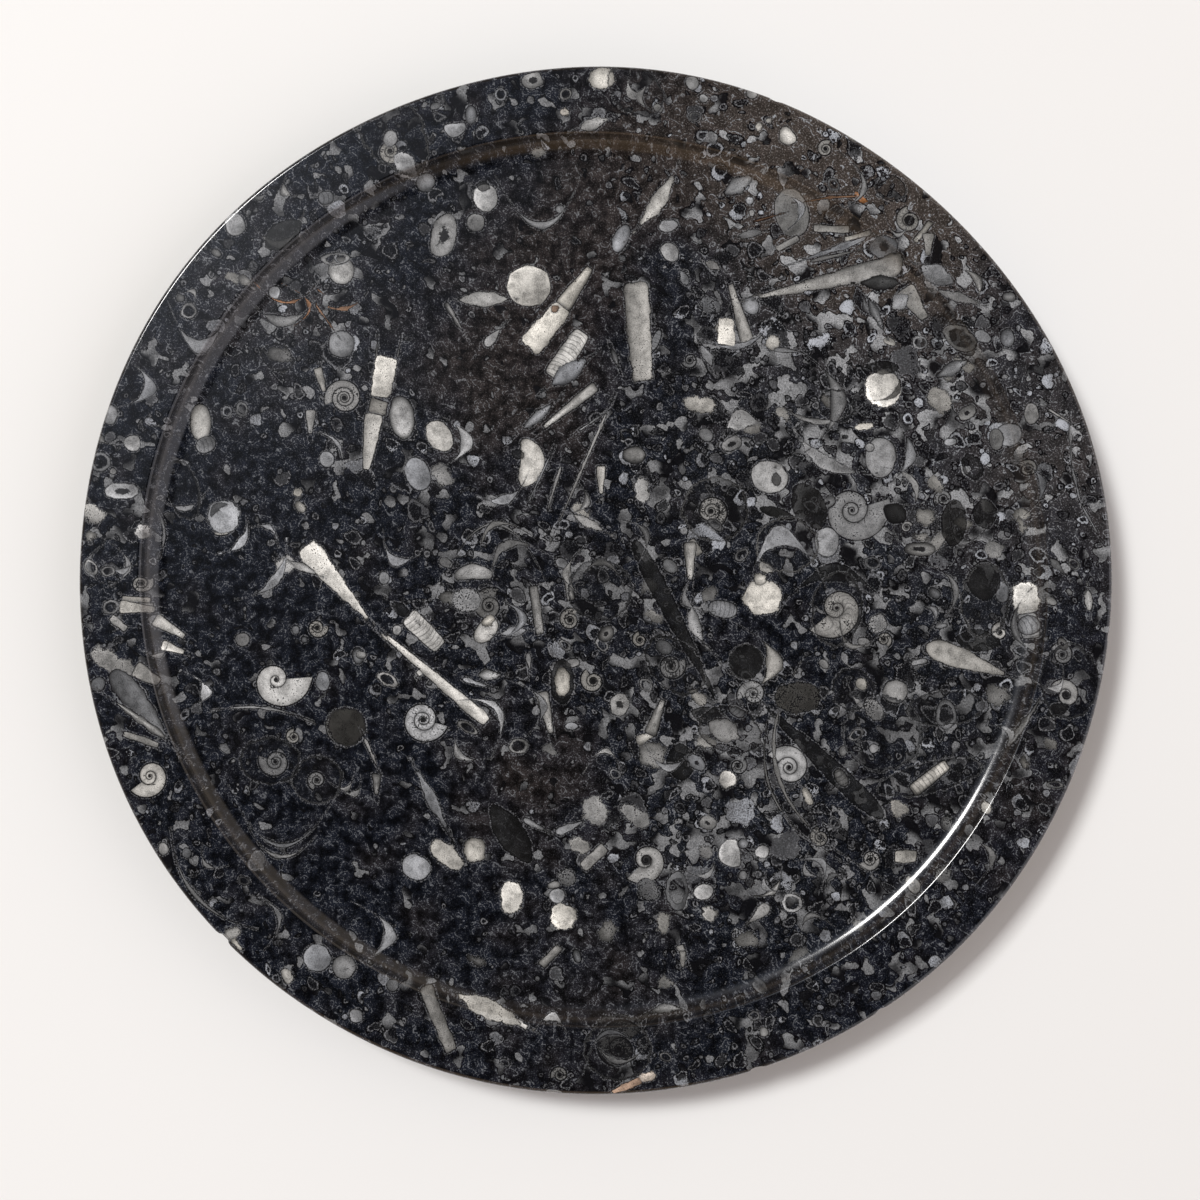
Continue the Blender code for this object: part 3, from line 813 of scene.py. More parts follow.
        (970, 266, 986, 294, 8, -8, 0.50), (891, 236, 908, 236, 5, 8, 0.52),
        (853, 706, 874, 706, 8, 10, 0.56), (1050, 694, 1066, 684, 7, 6, 0.84),
        (483, 690, 512, 728, 7, -16, 0.66), (522, 600, 524, 637, 9, -20, 0.52),
        (449, 744, 469, 766, 8, 9, 0.50), (393, 918, 391, 955, 12, -14, 0.56),
        (253, 846, 312, 848, 4, 17, 0.36), (262, 856, 300, 860, 5, 8, 0.44),
        (340, 792, 354, 786, 5, 4, 0.34), (350, 798, 362, 792, 5, 4, 0.32),
        (544, 1018, 562, 1020, 8, -4, 0.60), (168, 862, 218, 924, 4, 9, 0.30),
        (276, 902, 284, 932, 5, -7, 0.30), (988, 842, 996, 868, 7, -8, 0.30),
        (1006, 726, 1016, 744, 7, -6, 0.36), (930, 604, 940, 618, 7, -6, 0.46),
        (762, 702, 790, 834, 4, 22, 0.30), (754, 742, 786, 834, 3, 12, 0.34),
        (814, 854, 830, 872, 7, -8, 0.40), (486, 556, 524, 534, 9, -14, 0.22),
        (476, 534, 510, 516, 6, -12, 0.24), (490, 596, 518, 620, 9, 12, 0.28),
        (88, 622, 94, 630, 5, -4, 0.34), (540, 690, 546, 720, 8, -7, 0.26),
        (590, 1036, 628, 1028, 5, -12, 0.24), (598, 1060, 640, 1064, 5, 12, 0.26),
        (150, 660, 162, 656, 5, 3, 0.36), (596, 750, 616, 752, 5, -6, 0.46),
        (656, 768, 682, 768, 8, 7, 0.42), (800, 866, 812, 880, 6, 6, 0.36),
        (824, 880, 838, 872, 5, -5, 0.34), (952, 572, 960, 606, 6, -8, 0.36),
        (1010, 610, 1018, 650, 7, 8, 0.30), (640, 520, 652, 546, 6, -7, 0.26),
        (586, 560, 620, 564, 5, -12, 0.26), (680, 590, 690, 612, 6, 7, 0.32),
        (838, 640, 862, 652, 6, 8, 0.40), (908, 470, 922, 500, 7, -7, 0.40),
        (950, 540, 972, 548, 6, 8, 0.34), (860, 300, 876, 320, 6, 7, 0.34),
        (700, 880, 716, 870, 6, 5, 0.44), (760, 880, 770, 894, 6, 5, 0.40),
        (800, 920, 818, 912, 6, -6, 0.36), (1040, 470, 1046, 500, 6, -6, 0.26),
        (420, 80, 440, 84, 5, 5, 0.22), (252, 200, 268, 196, 5, 5, 0.22),
        (190, 240, 196, 262, 6, -6, 0.24), (96, 430, 104, 446, 6, 5, 0.26),
        (200, 860, 214, 872, 5, 4, 0.28),
    ],
    ring=[
        (180, 312, 196, 312, 16, 0, 0.34), (334, 258, 348, 258, 12, 0, 0.40),
        (495, 94, 507, 94, 12, 0, 0.40), (92, 455, 108, 468, 20, 0, 0.34),
        (101, 572, 115, 572, 11, 0, 0.48), (86, 560, 96, 574, 11, 0, 0.42),
        (914, 344, 928, 344, 14, 0, 0.40), (967, 457, 979, 480, 20, 0, 0.02),
        (222, 413, 232, 413, 10, 0, 0.42), (235, 410, 248, 410, 14, 0, 0.42),
        (946, 701, 946, 730, 21, 0, 0.44), (677, 871, 677, 911, 22, 0, 0.22),
        (562, 660, 562, 703, 24, 0, 0.02), (748, 1016, 760, 1016, 10, 0, 0.40),
        (950, 326, 976, 350, 19, 0, 0.16), (1046, 785, 1063, 785, 7, 0, 0.34),
        (782, 904, 802, 902, 20, 0, 0.50), (509, 746, 527, 746, 16, 0, 0.32),
        (103, 608, 119, 608, 15, 0, 0.40), (458, 722, 478, 734, 9, 0, 0.36),
        (378, 675, 397, 684, 12, 0, 0.52), (320, 260, 350, 258, 12, 0, 0.44),
        (708, 520, 722, 530, 10, 0, 0.26), (640, 680, 652, 690, 11, 0, 0.30),
        (596, 640, 608, 650, 11, 0, 0.28), (736, 560, 748, 550, 10, 0, 0.30),
        (866, 560, 880, 566, 12, 0, 0.30), (850, 740, 862, 730, 10, 0, 0.34),
        (610, 770, 620, 778, 9, 0, 0.34), (560, 640, 570, 650, 9, 0, 0.24),
        (830, 820, 840, 828, 9, 0, 0.30), (206, 228, 214, 238, 9, 0, 0.26),
        (560, 96, 572, 92, 10, 0, 0.30), (1070, 560, 1078, 570, 9, 0, 0.26),
        (1048, 712, 1066, 710, 11, 0, 0.12), (830, 180, 840, 190, 11, 0, 0.26),
        (690, 114, 702, 120, 9, 0, 0.30), (660, 1054, 672, 1060, 8, 0, 0.26),
        (500, 1060, 510, 1066, 8, 0, 0.24), (240, 880, 250, 884, 8, 0, 0.20),
    ],
    thin=[
        (894, 528, 938, 524, 43, 0, 0.30), (820, 398, 854, 414, 32, 0, 0.22),
        (568, 590, 632, 590, 62, 0, 0.16), (328, 727, 366, 727, 38, 0, 0.18),
        (843, 734, 922, 734, 76, 0, 0.20), (682, 509, 748, 509, 64, 0, 0.14),
        (878, 180, 904, 196, 25, 0, 0.22), (961, 600, 1009, 604, 74, 0, 0.22),
        (832, 690, 874, 690, 42, 0, 0.18), (452, 546, 530, 546, 78, 0, 0.14),
        (730, 658, 762, 666, 34, 0, 0.20), (586, 1049, 652, 1049, 64, 0, 0.16),
        (756, 545, 818, 545, 56, 0, 0.24), (878, 790, 982, 766, 30, 0, 0.24),
        (262, 350, 292, 366, 26, 0, 0.14), (293, 781, 342, 781, 48, 0, 0.16),
        (812, 606, 862, 612, 74, 0, 0.14), (1040, 680, 1098, 684, 74, 0, 0.14),
        (906, 712, 984, 706, 34, 0, 0.16), (240, 760, 300, 764, 46, 0, 0.12),
        (170, 460, 190, 520, 30, 0, 0.10), (360, 86, 420, 170, 60, 0, 0.12),
        (612, 70, 660, 110, 44, 0, 0.16), (700, 720, 760, 740, 46, 0, 0.16),
        (650, 640, 700, 690, 46, 0, 0.18),
    ],
    eyed=[
        (522, 82, 542, 78, 17, 0, 0.50), (105, 491, 138, 493, 17, 0, 0.58),
        (449, 214, 438, 257, 26, 0, 0.44), (619, 694, 620, 716, 19, 0, 0.46),
        (318, 199, 332, 199, 14, 0, 0.24), (905, 549, 935, 551, 14, 0, 0.36),
        (872, 246, 898, 252, 20, 0, 0.24), (600, 640, 612, 628, 13, 0, 0.26),
        (722, 448, 742, 440, 14, 0, 0.28), (690, 756, 704, 770, 13, 0, 0.30),
        (1058, 640, 1066, 650, 9, 0, 0.26), (820, 506, 836, 500, 12, 0, 0.26),
        (960, 420, 976, 410, 13, 0, 0.28), (700, 820, 716, 826, 14, 0, 0.30),
    ],
    striped=[
        (196, 450, 214, 442, 16, 0, 0.26), (709, 606, 737, 612, 17, 0, 0.48),
        (318, 200, 333, 196, 13, 0, 0.28), (1024, 618, 1036, 636, 20, 0, 0.48),
        (652, 350, 660, 330, 8, 0, 0.30), (730, 706, 744, 716, 11, 0, 0.26),
        (836, 770, 846, 786, 11, 0, 0.26),
    ],
    pitted=[
        (636, 282, 643, 381, 27, 0, 0.52), (529, 348, 563, 307, 25, 0, 0.92, 0.48),
        (726, 345, 726, 319, 19, 0, 1.00, 0.44), (387, 357, 379, 397, 24, 0, 0.82, 0.42),
    ],
    mosaic=[
        (853, 266, 893, 260, 22, 0, 0.24), (869, 624, 887, 624, 18, 0, 0.42),
        (775, 698, 821, 697, 31, 0, 0.07, 0.40), (700, 300, 720, 310, 14, 0, 0.26),
        (936, 880, 950, 870, 12, 0, 0.26), (866, 700, 880, 720, 16, 0, 0.30),
        (640, 880, 656, 900, 18, 0, 0.24), (560, 870, 574, 884, 14, 0, 0.26),
        (940, 820, 960, 830, 14, 0, 0.26), (480, 590, 500, 606, 20, 0, 0.24),
        (453, 600, 480, 600, 24, 0, 0.50),
    ],
    black=[
        (779, 698, 791, 694, 10, 0, 0.50), (868, 368, 900, 369, 13, 0, 0.02),
        (955, 500, 953, 548, 26, 0, 0.02), (984, 500, 986, 530, 24, 0, 0.02),
        (984, 562, 984, 602, 34, 0, 0.02), (512, 452, 524, 456, 10, 0, 0.02),
        (476, 185, 490, 187, 10, 0, 0.02), (553, 306, 557, 312, 8, 0, 0.30, 0.80),
        (729, 662, 765, 662, 34, 0, 0.02), (300, 222, 266, 248, 26, 0, 0.02),
        (798, 484, 821, 529, 33, 0, 0.02), (955, 320, 976, 356, 20, 0, 0.02),
        (766, 548, 800, 572, 40, 0, 0.02), (760, 508, 794, 518, 11, 0, 0.03),
        (868, 276, 898, 290, 14, 0, 0.02), (680, 744, 682, 780, 30, 0, 0.02),
        (884, 508, 906, 520, 20, 0, 0.03), (1046, 716, 1068, 706, 12, 0, 0.02),
        (692, 712, 726, 720, 18, 0, 0.02), (492, 806, 530, 862, 28, 0, 0.02),
        (444, 614, 466, 654, 28, 0, 0.02), (393, 603, 409, 616, 11, 0, 0.02),
        (208, 515, 224, 502, 7, -4, 0.02), (776, 473, 777, 486, 10, 0, 0.02),
        (930, 160, 980, 220, 14, 0, 0.05), (956, 640, 1000, 644, 22, 0, 0.02),
        (842, 676, 868, 704, 30, 0, 0.03),
    ],
)

# coiled shells: centre and mouth radius in plan units, mouth direction in degrees, growth in
# one turn, the way it winds, tone, chambers in a turn, dark hub, mud patches
coils = [
    (1000, 634, 11, 90, 2.6, 1, 0.62, 0, 0.20, 0.10),
    (852.3, 510.4, 40, 17, 2.5, -1, 0.44, 0, 0.03, 0.20),
    (789, 767.5, 25, 150, 2.2, -1, 0.64, 0, 0.08, 0.10),
    (276.2, 680.6, 37, 5, 3.6, -1, 0.86, 0, 0.07, 0.20),
    (423, 719.6, 26, -15, 2.1, -1, 0.80, 11, 0.12, 0.24),
    (344, 398, 21, 200, 1.7, -1, 0.44, 0, 0.10, 0.22), (711, 511, 18, 300, 1.9, 1, 0.62, 0, 0.12, 0.38),
    (836.7, 608.3, 35, 219, 3.2, 1, 0.64, 14, 0.05, 0.20),
    (150, 777, 24, 215, 2.6, 1, 0.66, 0, 0.06, 0.15), (671, 666, 16, 30, 1.9, -1, 0.42, 0, 0.14, 0.30),
    (593, 681, 14, 120, 2.0, 1, 0.34, 0, 0.28, 0.20), (570, 620, 13, 45, 1.9, 1, 0.32, 0, 0.16, 0.30),
    (753, 694, 17, 200, 2.2, -1, 0.48, 0, 0.12, 0.22), (646, 860, 27, 225, 3.0, 1, 0.52, 0, 0.20, 0.20),
    (390, 151, 14, -30, 2.0, -1, 0.56, 8, 0.16, 0.25), (826, 149, 10, 60, 2.0, 1, 0.40, 0, 0.20, 0.25),
    (1062, 656, 13, 150, 1.9, -1, 0.44, 12, 0.15, 0.20),
    (1066, 696, 18, 150, 2.6, -1, 0.60, 0, 0.25, 0.10),
    (910, 221, 15, 100, 2.0, 1, 0.34, 16, 0.35, 0.10), (906.7, 528, 7, 20, 1.9, 1, 0.60, 0, 0.20, 0.10),
    (317, 628, 12, 10, 2.0, -1, 0.44, 8, 0.18, 0.30), (294, 738, 9, 90, 2.0, 1, 0.36, 0, 0.20, 0.25),
    (276, 763, 18, 160, 2.1, 1, 0.36, 0, 0.10, 0.22),
    (317.6, 781, 11, 250, 2.0, -1, 0.44, 0, 0.18, 0.30),
    (140, 585, 11, 30, 2.0, -1, 0.36, 0, 0.15, 0.25), (870, 860, 13, 200, 2.0, 1, 0.44, 0, 0.15, 0.25),
    (619, 1049, 30, 40, 2.4, 1, 0.12, 0, 0.10, 0.40), (223, 520, 18, 240, 2.6, 1, 0.62, 0, 0.10, 0.10),
    (489, 606, 20, 60, 2.2, 1, 0.22, 0, 0.10, 0.30), (640, 640, 9, 100, 2.0, 1, 0.34, 0, 0.20, 0.25),
    (738, 766, 10, 40, 2.0, -1, 0.36, 0, 0.15, 0.25), (884, 640, 9, 300, 2.0, 1, 0.34, 0, 0.18, 0.25),
    (944, 500, 11, 220, 2.0, -1, 0.34, 0, 0.18, 0.25), (820, 838, 12, 100, 2.0, 1, 0.32, 0, 0.16, 0.28),
    (690, 360, 9, 200, 2.0, 1, 0.30, 0, 0.2, 0.25), (1030, 470, 10, 150, 2.0, -1, 0.26, 0, 0.2, 0.3),
    (240, 180, 10, 60, 2.0, 1, 0.20, 0, 0.2, 0.3), (560, 1075, 10, 200, 2.0, -1, 0.24, 0, 0.2, 0.3),
]

layers = dict(
    shell=5,
    coil=2,
    pooled=3,  # a face with more shell layers than this gets the material with all of them
    margin=1.2,  # mm round a shell for its halo
    covered=0.1,  # mm round it that hide what lies beneath
    awayU=99.0,  # where a face without a shell in a layer is put, in mm from it
)
seeds = dict(shells=11, coils=23, chips=5)


def shellItems():
    # each shell as centre, direction, half length, half width, form, look and marks
    dice = np.random.default_rng(seeds["shells"])
    items = []
    for kind, rows in shells.items():
        style = dict(plainKind, **kinds[kind])
        for row in rows:
            x1, y1, x2, y2, width, bend, tone = row[:7]
            warmth = row[7] if len(row) > 7 else style["warmth"] + dice.uniform(-0.10, 0.10)
            (ax, ay), (bx, by) = planPoint(x1, y1), planPoint(x2, y2)
            length = math.hypot(bx - ax, by - ay)
            across = width * planUnit / (1 + abs(style["taper"]))
            turn = math.atan2(by - ay, bx - ax)
            if across > length:
                length, across, turn = across, length, turn + math.pi / 2
            items.append(dict(
                centre=((ax + bx) / 2, (ay + by) / 2), turn=turn, flip=1,
                local=(length / 2, across / 2),
                form=(style["taper"], bend * planUnit, style["power"], style["pinch"]),
                look=(tone, max(warmth, 0), style["ragged"], dice.random()),
                marks=(style["ribs"], style["eye"], style["hollow"], style["spots"]),
            ))
    return items


def coilItems():
    # each coil as centre, mouth direction, mouth radius, growth, look and marks
    dice = np.random.default_rng(seeds["coils"])
    items = []
    for x, y, mouth, direction, growth, winding, tone, chambers, hub, dark in coils:
        items.append(dict(
            centre=planPoint(x, y), turn=math.radians(direction), flip=winding,
            local=(mouth * planUnit, growth),
            look=(tone, dice.uniform(0.12, 0.4), dice.uniform(0.15, 0.4), dice.random()),
            marks=(chambers, hub, dark, 0),
        ))
    return items


# the same outline as the shader's, for deciding which faces a shell touches: rounded norm
# less one over its slope for a shell, and the mouth radius for a coil
def itemReach(item, u, v):
    if "form" not in item:
        return np.hypot(u, v) - item["local"][0]
    taper, bend, power, pinch = item["form"]
    length, width = item["local"]
    along = u / length
    half = np.maximum(width * (1 + taper * along) * (1 - pinch * along ** 2), 0.06)
    a = np.maximum(np.abs(along), 0.002)
    b = np.maximum(np.abs(v - bend * along ** 2) / half, 0.002)
    norm = (a ** power + b ** power) ** (1 / power)
    slope = np.hypot((a / norm) ** (power - 1) / length, (b / norm) ** (power - 1) / half)
    return (norm - 1) / slope


# a face holds at most one item in each layer. An item goes above those that it covers if a layer
# is free there, else below, and one that finds no free layer is left out; corners is
# faces x 4 x 2, in mm
def placeItems(items, count, corners, name):
    middle = corners.mean(axis=1)
    owner = np.full((count, len(corners)), -1)
    dropped = 0
    for number, item in enumerate(items):
        extent, bend = item["local"][0], 0
        if "form" in item:
            extent, bend = max(item["local"]), abs(item["form"][1])
        reach = max(extent, 1) * 1.25 + 2 + bend  # a little further than the item goes
        near = np.flatnonzero((np.abs(middle - item["centre"]) < reach).all(axis=1))
        if not len(near):
            continue
        u, v = localPlace(item, corners[near])
        gap = itemReach(item, u, v)
        touched = near[(gap < layers["margin"]).any(axis=1)]
        covered = near[(gap < layers["covered"]).any(axis=1)]
        taken = (owner[:, touched] >= 0).any(axis=1)
        beneath = (owner[:, covered] >= 0).any(axis=1)
        above = int(np.flatnonzero(beneath).max()) + 1 if beneath.any() else 0
        free = [layer for layer in [*range(above, count), *range(above)] if not taken[layer]]
        if not free:
            dropped += 1
            continue
        owner[free[0], touched] = number
    print(name, "placed", len(items) - dropped, "of", len(items), flush=True)
    return owner


# offset from the item's centre, turned back by its direction, and flipped for its winding
def localPlace(item, points):
    x = points[..., 0] - item["centre"][0]
    y = points[..., 1] - item["centre"][1]
    turn = item["turn"]
    u = x * math.cos(turn) + y * math.sin(turn)
    v = y * math.cos(turn) - x * math.sin(turn)
    return u, v * item["flip"]


def writeAttribute(mesh, name, domain, values):
    layer = mesh.attributes.new(name, "FLOAT_COLOR", domain)
    layer.data.foreach_set("color", np.ascontiguousarray(values, dtype=np.float32).ravel())


# corner values are the shell's own coordinates and size; face values are its form and look.
# The triangles, which come last, hold no shells
def writeLayers(mesh, items, owner, corners, prefix, extra, triangles):
    away = np.array([layers["awayU"], 0.0, 1.0, 2.0])
    plain = {key: np.array([0.0, 0.0, 2.0 if key == "form" else 0.0, 0.0]) for key in extra}
    for layer, held in enumerate(owner):
        local = np.tile(away, (len(corners), 4, 1))
        values = {key: np.tile(plain[key], (len(corners), 1)) for key in extra}
        for number in np.unique(held[held >= 0]):
            item = items[number]
            faces = np.flatnonzero(held == number)
            u, v = localPlace(item, corners[faces])
            local[faces, :, 0] = u
            local[faces, :, 1] = v
            local[faces, :, 2:] = item["local"]
            for key in extra:
                values[key][faces] = item[key]
        local = np.concatenate([local.reshape(-1, 4), np.tile(away, (triangles * 3, 1))])
        writeAttribute(mesh, f"{prefix}{layer}_local", "CORNER", local)
        for key in extra:
            rest = np.tile(plain[key], (triangles, 1))
            writeAttribute(mesh, f"{prefix}{layer}_{key}", "FACE", np.concatenate([values[key], rest]))


# the plate's half section, the same as the CAD solid's, in mm
section = dict(
    radius=150,
    height=18,
    wellDepth=5,
    wellEdge=131.1,  # the corner of rim and wall, before it is rounded
    wellFoot=128.3,  # the corner of wall and floor, before it is coved
    baseRadius=140,  # the corner of base and undercut, before it is rounded
    sideFoot=6,  # where the straight side starts to turn in
    wellCove=7.0,
    wellArris=1.2,
    rimArris=1.3,
    sideRound=4.0,
    baseRound=2.0,
    oval=1.2,  # the well is this much wider along its long axis and narrower across it
    ovalTurn=-20,  # degrees from +X to the long axis
    wellShift=(-0.2, 0.5),
    # the outline's wander: waves in a turn, size and turn of each
    waves=[(2, 0.5, -37), (3, 0.2, -50), (5, 0.3, 31), (6, 0.2, 113)],
    # flakes lost from the edge: degrees from +X, length along the edge and depth
    chips=[(223.9, 4.4, 1.6), (288.4, 4.6, 1.0), (303.7, 3.0, 0.9), (69.4, 3.6, 0.6), (353.9, 2.2, 0.6)],
    chipReach=2.6,
    chipDrop=3.0,
    chipBelow=0.6,
    chipInward=(0.8, 0.6),  # how far a flake's vertices move in, and down, along one line
    chipRough=0.80,  # the least share of the way that a vertex goes
)

# how many rows of faces each stretch of the section gets, and the widths of the narrow ones
rings = dict(
    floor=92, cove=10, wall=1, arris=4, rim=9, rimEdge=4, edge=5, belowEdge=4, side=3, sideTurn=3,
    undercut=4, baseEdge=2, underside=60,
)
rowWidths = dict(rimEdge=2.6, belowEdge=3, underJoin=1.5)
roundSteps = 40


def sectionCorners():
    # radius, height and rounding
    foot, edge, radius, height = (section[key] for key in ("wellFoot", "wellEdge", "radius", "height"))
    floor = height - section["wellDepth"]
    return [
        (0, floor, 0), (foot, floor, section["wellCove"]), (edge, height, section["wellArris"]),
        (radius, height, section["rimArris"]), (radius, section["sideFoot"], section["sideRound"]),
        (section["baseRadius"], 0, section["baseRound"]), (0, 0, 0),
    ]


# dense points along the section with their outward normals: straight lines, with an arc at
# each corner that touches both; marks are the arc lengths where each rounding starts and ends
def sectionCurve():
    rounded = sectionCorners()
    corners = [np.array(corner[:2], float) for corner in rounded]
    roundings = [corner[2] for corner in rounded[1:-1]]
    normal = np.array([0.0, 1.0])
    pieces, normals, marks = [corners[0]], [normal], []
    length = 0.0
    for before, corner, after, rounding in zip(corners, corners[1:], corners[2:], roundings):
        into = (corner - before) / np.linalg.norm(corner - before)
        out = (after - corner) / np.linalg.norm(after - corner)
        bend = math.atan2(into[0] * out[1] - into[1] * out[0], into @ out)
        cut = rounding * math.tan(abs(bend) / 2)
        start = corner - into * cut
        side = 1 if bend > 0 else -1
        centre = start + side * rounding * np.array([-into[1], into[0]])
        length += np.linalg.norm(start - pieces[-1])
        normal = np.array([-into[1], into[0]])
        pieces.append(start)
        normals.append(normal)
        marks.append(length)
        for step in range(1, roundSteps + 1):
            turn = bend * step / roundSteps
            spin = np.array([[math.cos(turn), -math.sin(turn)], [math.sin(turn), math.cos(turn)]])
            pieces.append(centre + spin @ (start - centre))
            normals.append(spin @ normal)
        length += abs(bend) * rounding
        marks.append(length)
    pieces.append(corners[-1])
    normals.append(normals[-1])
    points = np.array(pieces)
    normals = np.array(normals)
    arc = np.concatenate([[0], np.cumsum(np.hypot(*np.diff(points, axis=0).T))])
    return arc, points, normals, marks


# grid indices to ring and angle: every ring k has 8k equal steps, read off the square
def squareToDisc(n):
    i, j = np.meshgrid(np.arange(-n, n + 1), np.arange(-n, n + 1), indexing="ij")
    ring = np.maximum(np.abs(i), np.abs(j))
    step = np.where(j == ring, 2 * ring - i, np.where(i == -ring, 4 * ring - j, 6 * ring + i))
    step = np.where(i == ring, j, step)
    angle = step * (math.pi / 4) / np.maximum(ring, 1)
    return ring.ravel(), angle.ravel()


def squareFaces(n):
    # the grid's quads, counter-clockwise
    side = 2 * n + 1
    i, j = np.meshgrid(np.arange(2 * n), np.arange(2 * n), indexing="ij")
    first = (i * side + j).ravel()
    return np.stack([first, first + side, first + side + 1, first + 1], axis=1)


def squareEdge(n):
    # vertex numbers of the outermost ring, in order of angle from -45 degrees
    step = np.arange(-n, 7 * n)
    i = np.select([step < n, step < 3 * n, step < 5 * n], [n, 2 * n - step, -n], step - 6 * n)
    j = np.select([step < n, step < 3 * n, step < 5 * n], [step, n, 4 * n - step], -n)
    return (i + n) * (2 * n + 1) + (j + n), step * (math.pi / 4) / n


def ramp(values, low, high):
    # 0 below low, 1 above high, and a smooth rise between
    share = np.clip((values - low) / (high - low), 0, 1)
    return share * share * (3 - 2 * share)


def wander(angle):
    # the hand-cut outline: a sum of cosines that fit the turn a whole number of times
    return sum(
        size * np.cos(count * angle - math.radians(turn)) for count, size, turn in section["waves"]
    )


# the outline wanders, and the well goes oval and moves off centre: radius plus the wander
# outside the well and the oval inside it, then x and y plus the shift
def handShape(radius, angle):
    outside = ramp(radius, section["wellEdge"], section["radius"])
    inside = ramp(radius, section["wellFoot"] / 2, section["wellFoot"]) * (1 - outside)
    oval = section["oval"] * np.cos(2 * (angle - math.radians(section["ovalTurn"])))
    grown = radius + wander(angle) * outside + oval * inside
    shiftX, shiftY = section["wellShift"]
    return grown * np.cos(angle) + shiftX * inside, grown * np.sin(angle) + shiftY * inside


# vertices inside a flake's ellipsoid move in and down, along one line, towards the far side of
# it: the root of the ellipsoid's equation along that line, times a rough share
def chipEdge(points):
    chipped = np.zeros(len(points), bool)
    dice = np.random.default_rng(seeds["chips"])
    reach, (inward, down) = section["chipReach"], section["chipInward"]
    for degrees, length, depth in section["chips"]:
        angle = math.radians(degrees)
        half = length / 2 / math.sqrt(1 - ((reach - depth) / reach) ** 2)
        edge = section["radius"] + float(wander(np.array(angle)))
        out = np.array([math.cos(angle), math.sin(angle), 0])
        along = np.array([-math.sin(angle), math.cos(angle), 0])
        centre = out * (edge - depth + reach) + np.array([0, 0, section["height"] - section["chipBelow"]])
        axes = np.stack([out / reach, along / half, np.array([0, 0, 1 / section["chipDrop"]])])
        line = -out * inward - np.array([0, 0, down])
        local, move = (points - centre) @ axes.T, axes @ line
        a, b, c = move @ move, 2 * local @ move, (local ** 2).sum(axis=1) - 1
        far = (-b + np.sqrt(np.maximum(b * b - 4 * a * c, 0))) / (2 * a)
        rough = dice.uniform(section["chipRough"], 1.0, len(points))
        points += np.where(c < 0, far * rough, 0)[:, None] * line
        chipped |= c < 0
    return chipped


# the plate's surface: the top is a square grid wrapped to rings, the side is bands of quads
# below its edge, and the underside is a coarser wrapped grid. Each vertex is the section's
# point at its arc length, turned to its angle and shaped by hand
def makePlate():
    arc, curve, curveNormals, marks = sectionCurve()
    floorEnd, coveEnd, wallEnd, arrisEnd, rimEnd, edgeEnd, sideEnd, turnEnd, underEnd, baseEnd = marks

    rimBreak, sideBreak = rimEnd - rowWidths["rimEdge"], edgeEnd + rowWidths["belowEdge"]

    def spaced(start, end, count):
        return np.linspace(start, end, count + 1)[1:]

    top = np.concatenate([
        [0], spaced(0, floorEnd, rings["floor"]), spaced(floorEnd, coveEnd, rings["cove"]),
        spaced(coveEnd, wallEnd, rings["wall"]), spaced(wallEnd, arrisEnd, rings["arris"]),
        spaced(arrisEnd, rimBreak, rings["rim"]), spaced(rimBreak, rimEnd, rings["rimEdge"]),
    ])
    n = len(top) - 1
    side = np.concatenate([
        spaced(rimEnd, edgeEnd, rings["edge"]), spaced(edgeEnd, sideBreak, rings["belowEdge"]),
        spaced(sideBreak, sideEnd, rings["side"]), spaced(sideEnd, turnEnd, rings["sideTurn"]),
        spaced(turnEnd, underEnd, rings["undercut"]), spaced(underEnd, baseEnd, rings["baseEdge"]),
    ])
    ring, angle = squareToDisc(n)
    edge, edgeAngle = squareEdge(n)
    count = len(edge)
    arcs = np.concatenate([top[ring], np.repeat(side, count)])
    angles = np.concatenate([angle, np.tile(edgeAngle, len(side))])
    m = rings["underside"]
    underRing, underAngle = squareToDisc(m)
    baseStart = arc[-1] - baseEnd
    underArcs = arc[-1] - (baseStart - rowWidths["underJoin"]) * underRing / m
    arcs = np.concatenate([arcs, underArcs])
    angles = np.concatenate([angles, underAngle])

    radius = np.interp(arcs, arc, curve[:, 0])
    height = np.interp(arcs, arc, curve[:, 1])
    normalOut = np.interp(arcs, arc, curveNormals[:, 0])
    normalUp = np.interp(arcs, arc, curveNormals[:, 1])
    points = np.stack([*handShape(radius, angles), height], axis=1)
    normals = np.stack([normalOut * np.cos(angles), normalOut * np.sin(angles), normalUp], axis=1)
    normals /= np.linalg.norm(normals, axis=1)[:, None]

    topCount = (2 * n + 1) ** 2
    bands = [edge] + [topCount + count * step + np.arange(count) for step in range(len(side))]
    bandFaces = [
        np.stack([inner, outer, np.roll(outer, -1), np.roll(inner, -1)], axis=1)
        for inner, outer in zip(bands, bands[1:])
    ]
    underStart = topCount + count * len(side)
    underEdge, _ = squareEdge(m)
    outer, inner = bands[-1], underStart + underEdge
    a, b, c = outer[::2], outer[1::2], np.roll(outer[::2], -1)
    p, q = inner, np.roll(inner, -1)
    # the inner ring has half the vertices, so each of its steps takes three triangles
    shares = [np.stack(three, axis=1) for three in ((a, p, b), (b, p, q), (b, q, c))]
    joins = np.concatenate([three[:, ::-1] for three in shares])
    under = underStart + squareFaces(m)[:, ::-1]
    quads = np.concatenate([squareFaces(n)] + bandFaces + [under])
    return points, normals, arcs, angles, quads, joins, dict(
        top=len(squareFaces(n)), bands=sum(map(len, bandFaces)), rimEnd=rimEnd, baseEnd=baseEnd,
    )


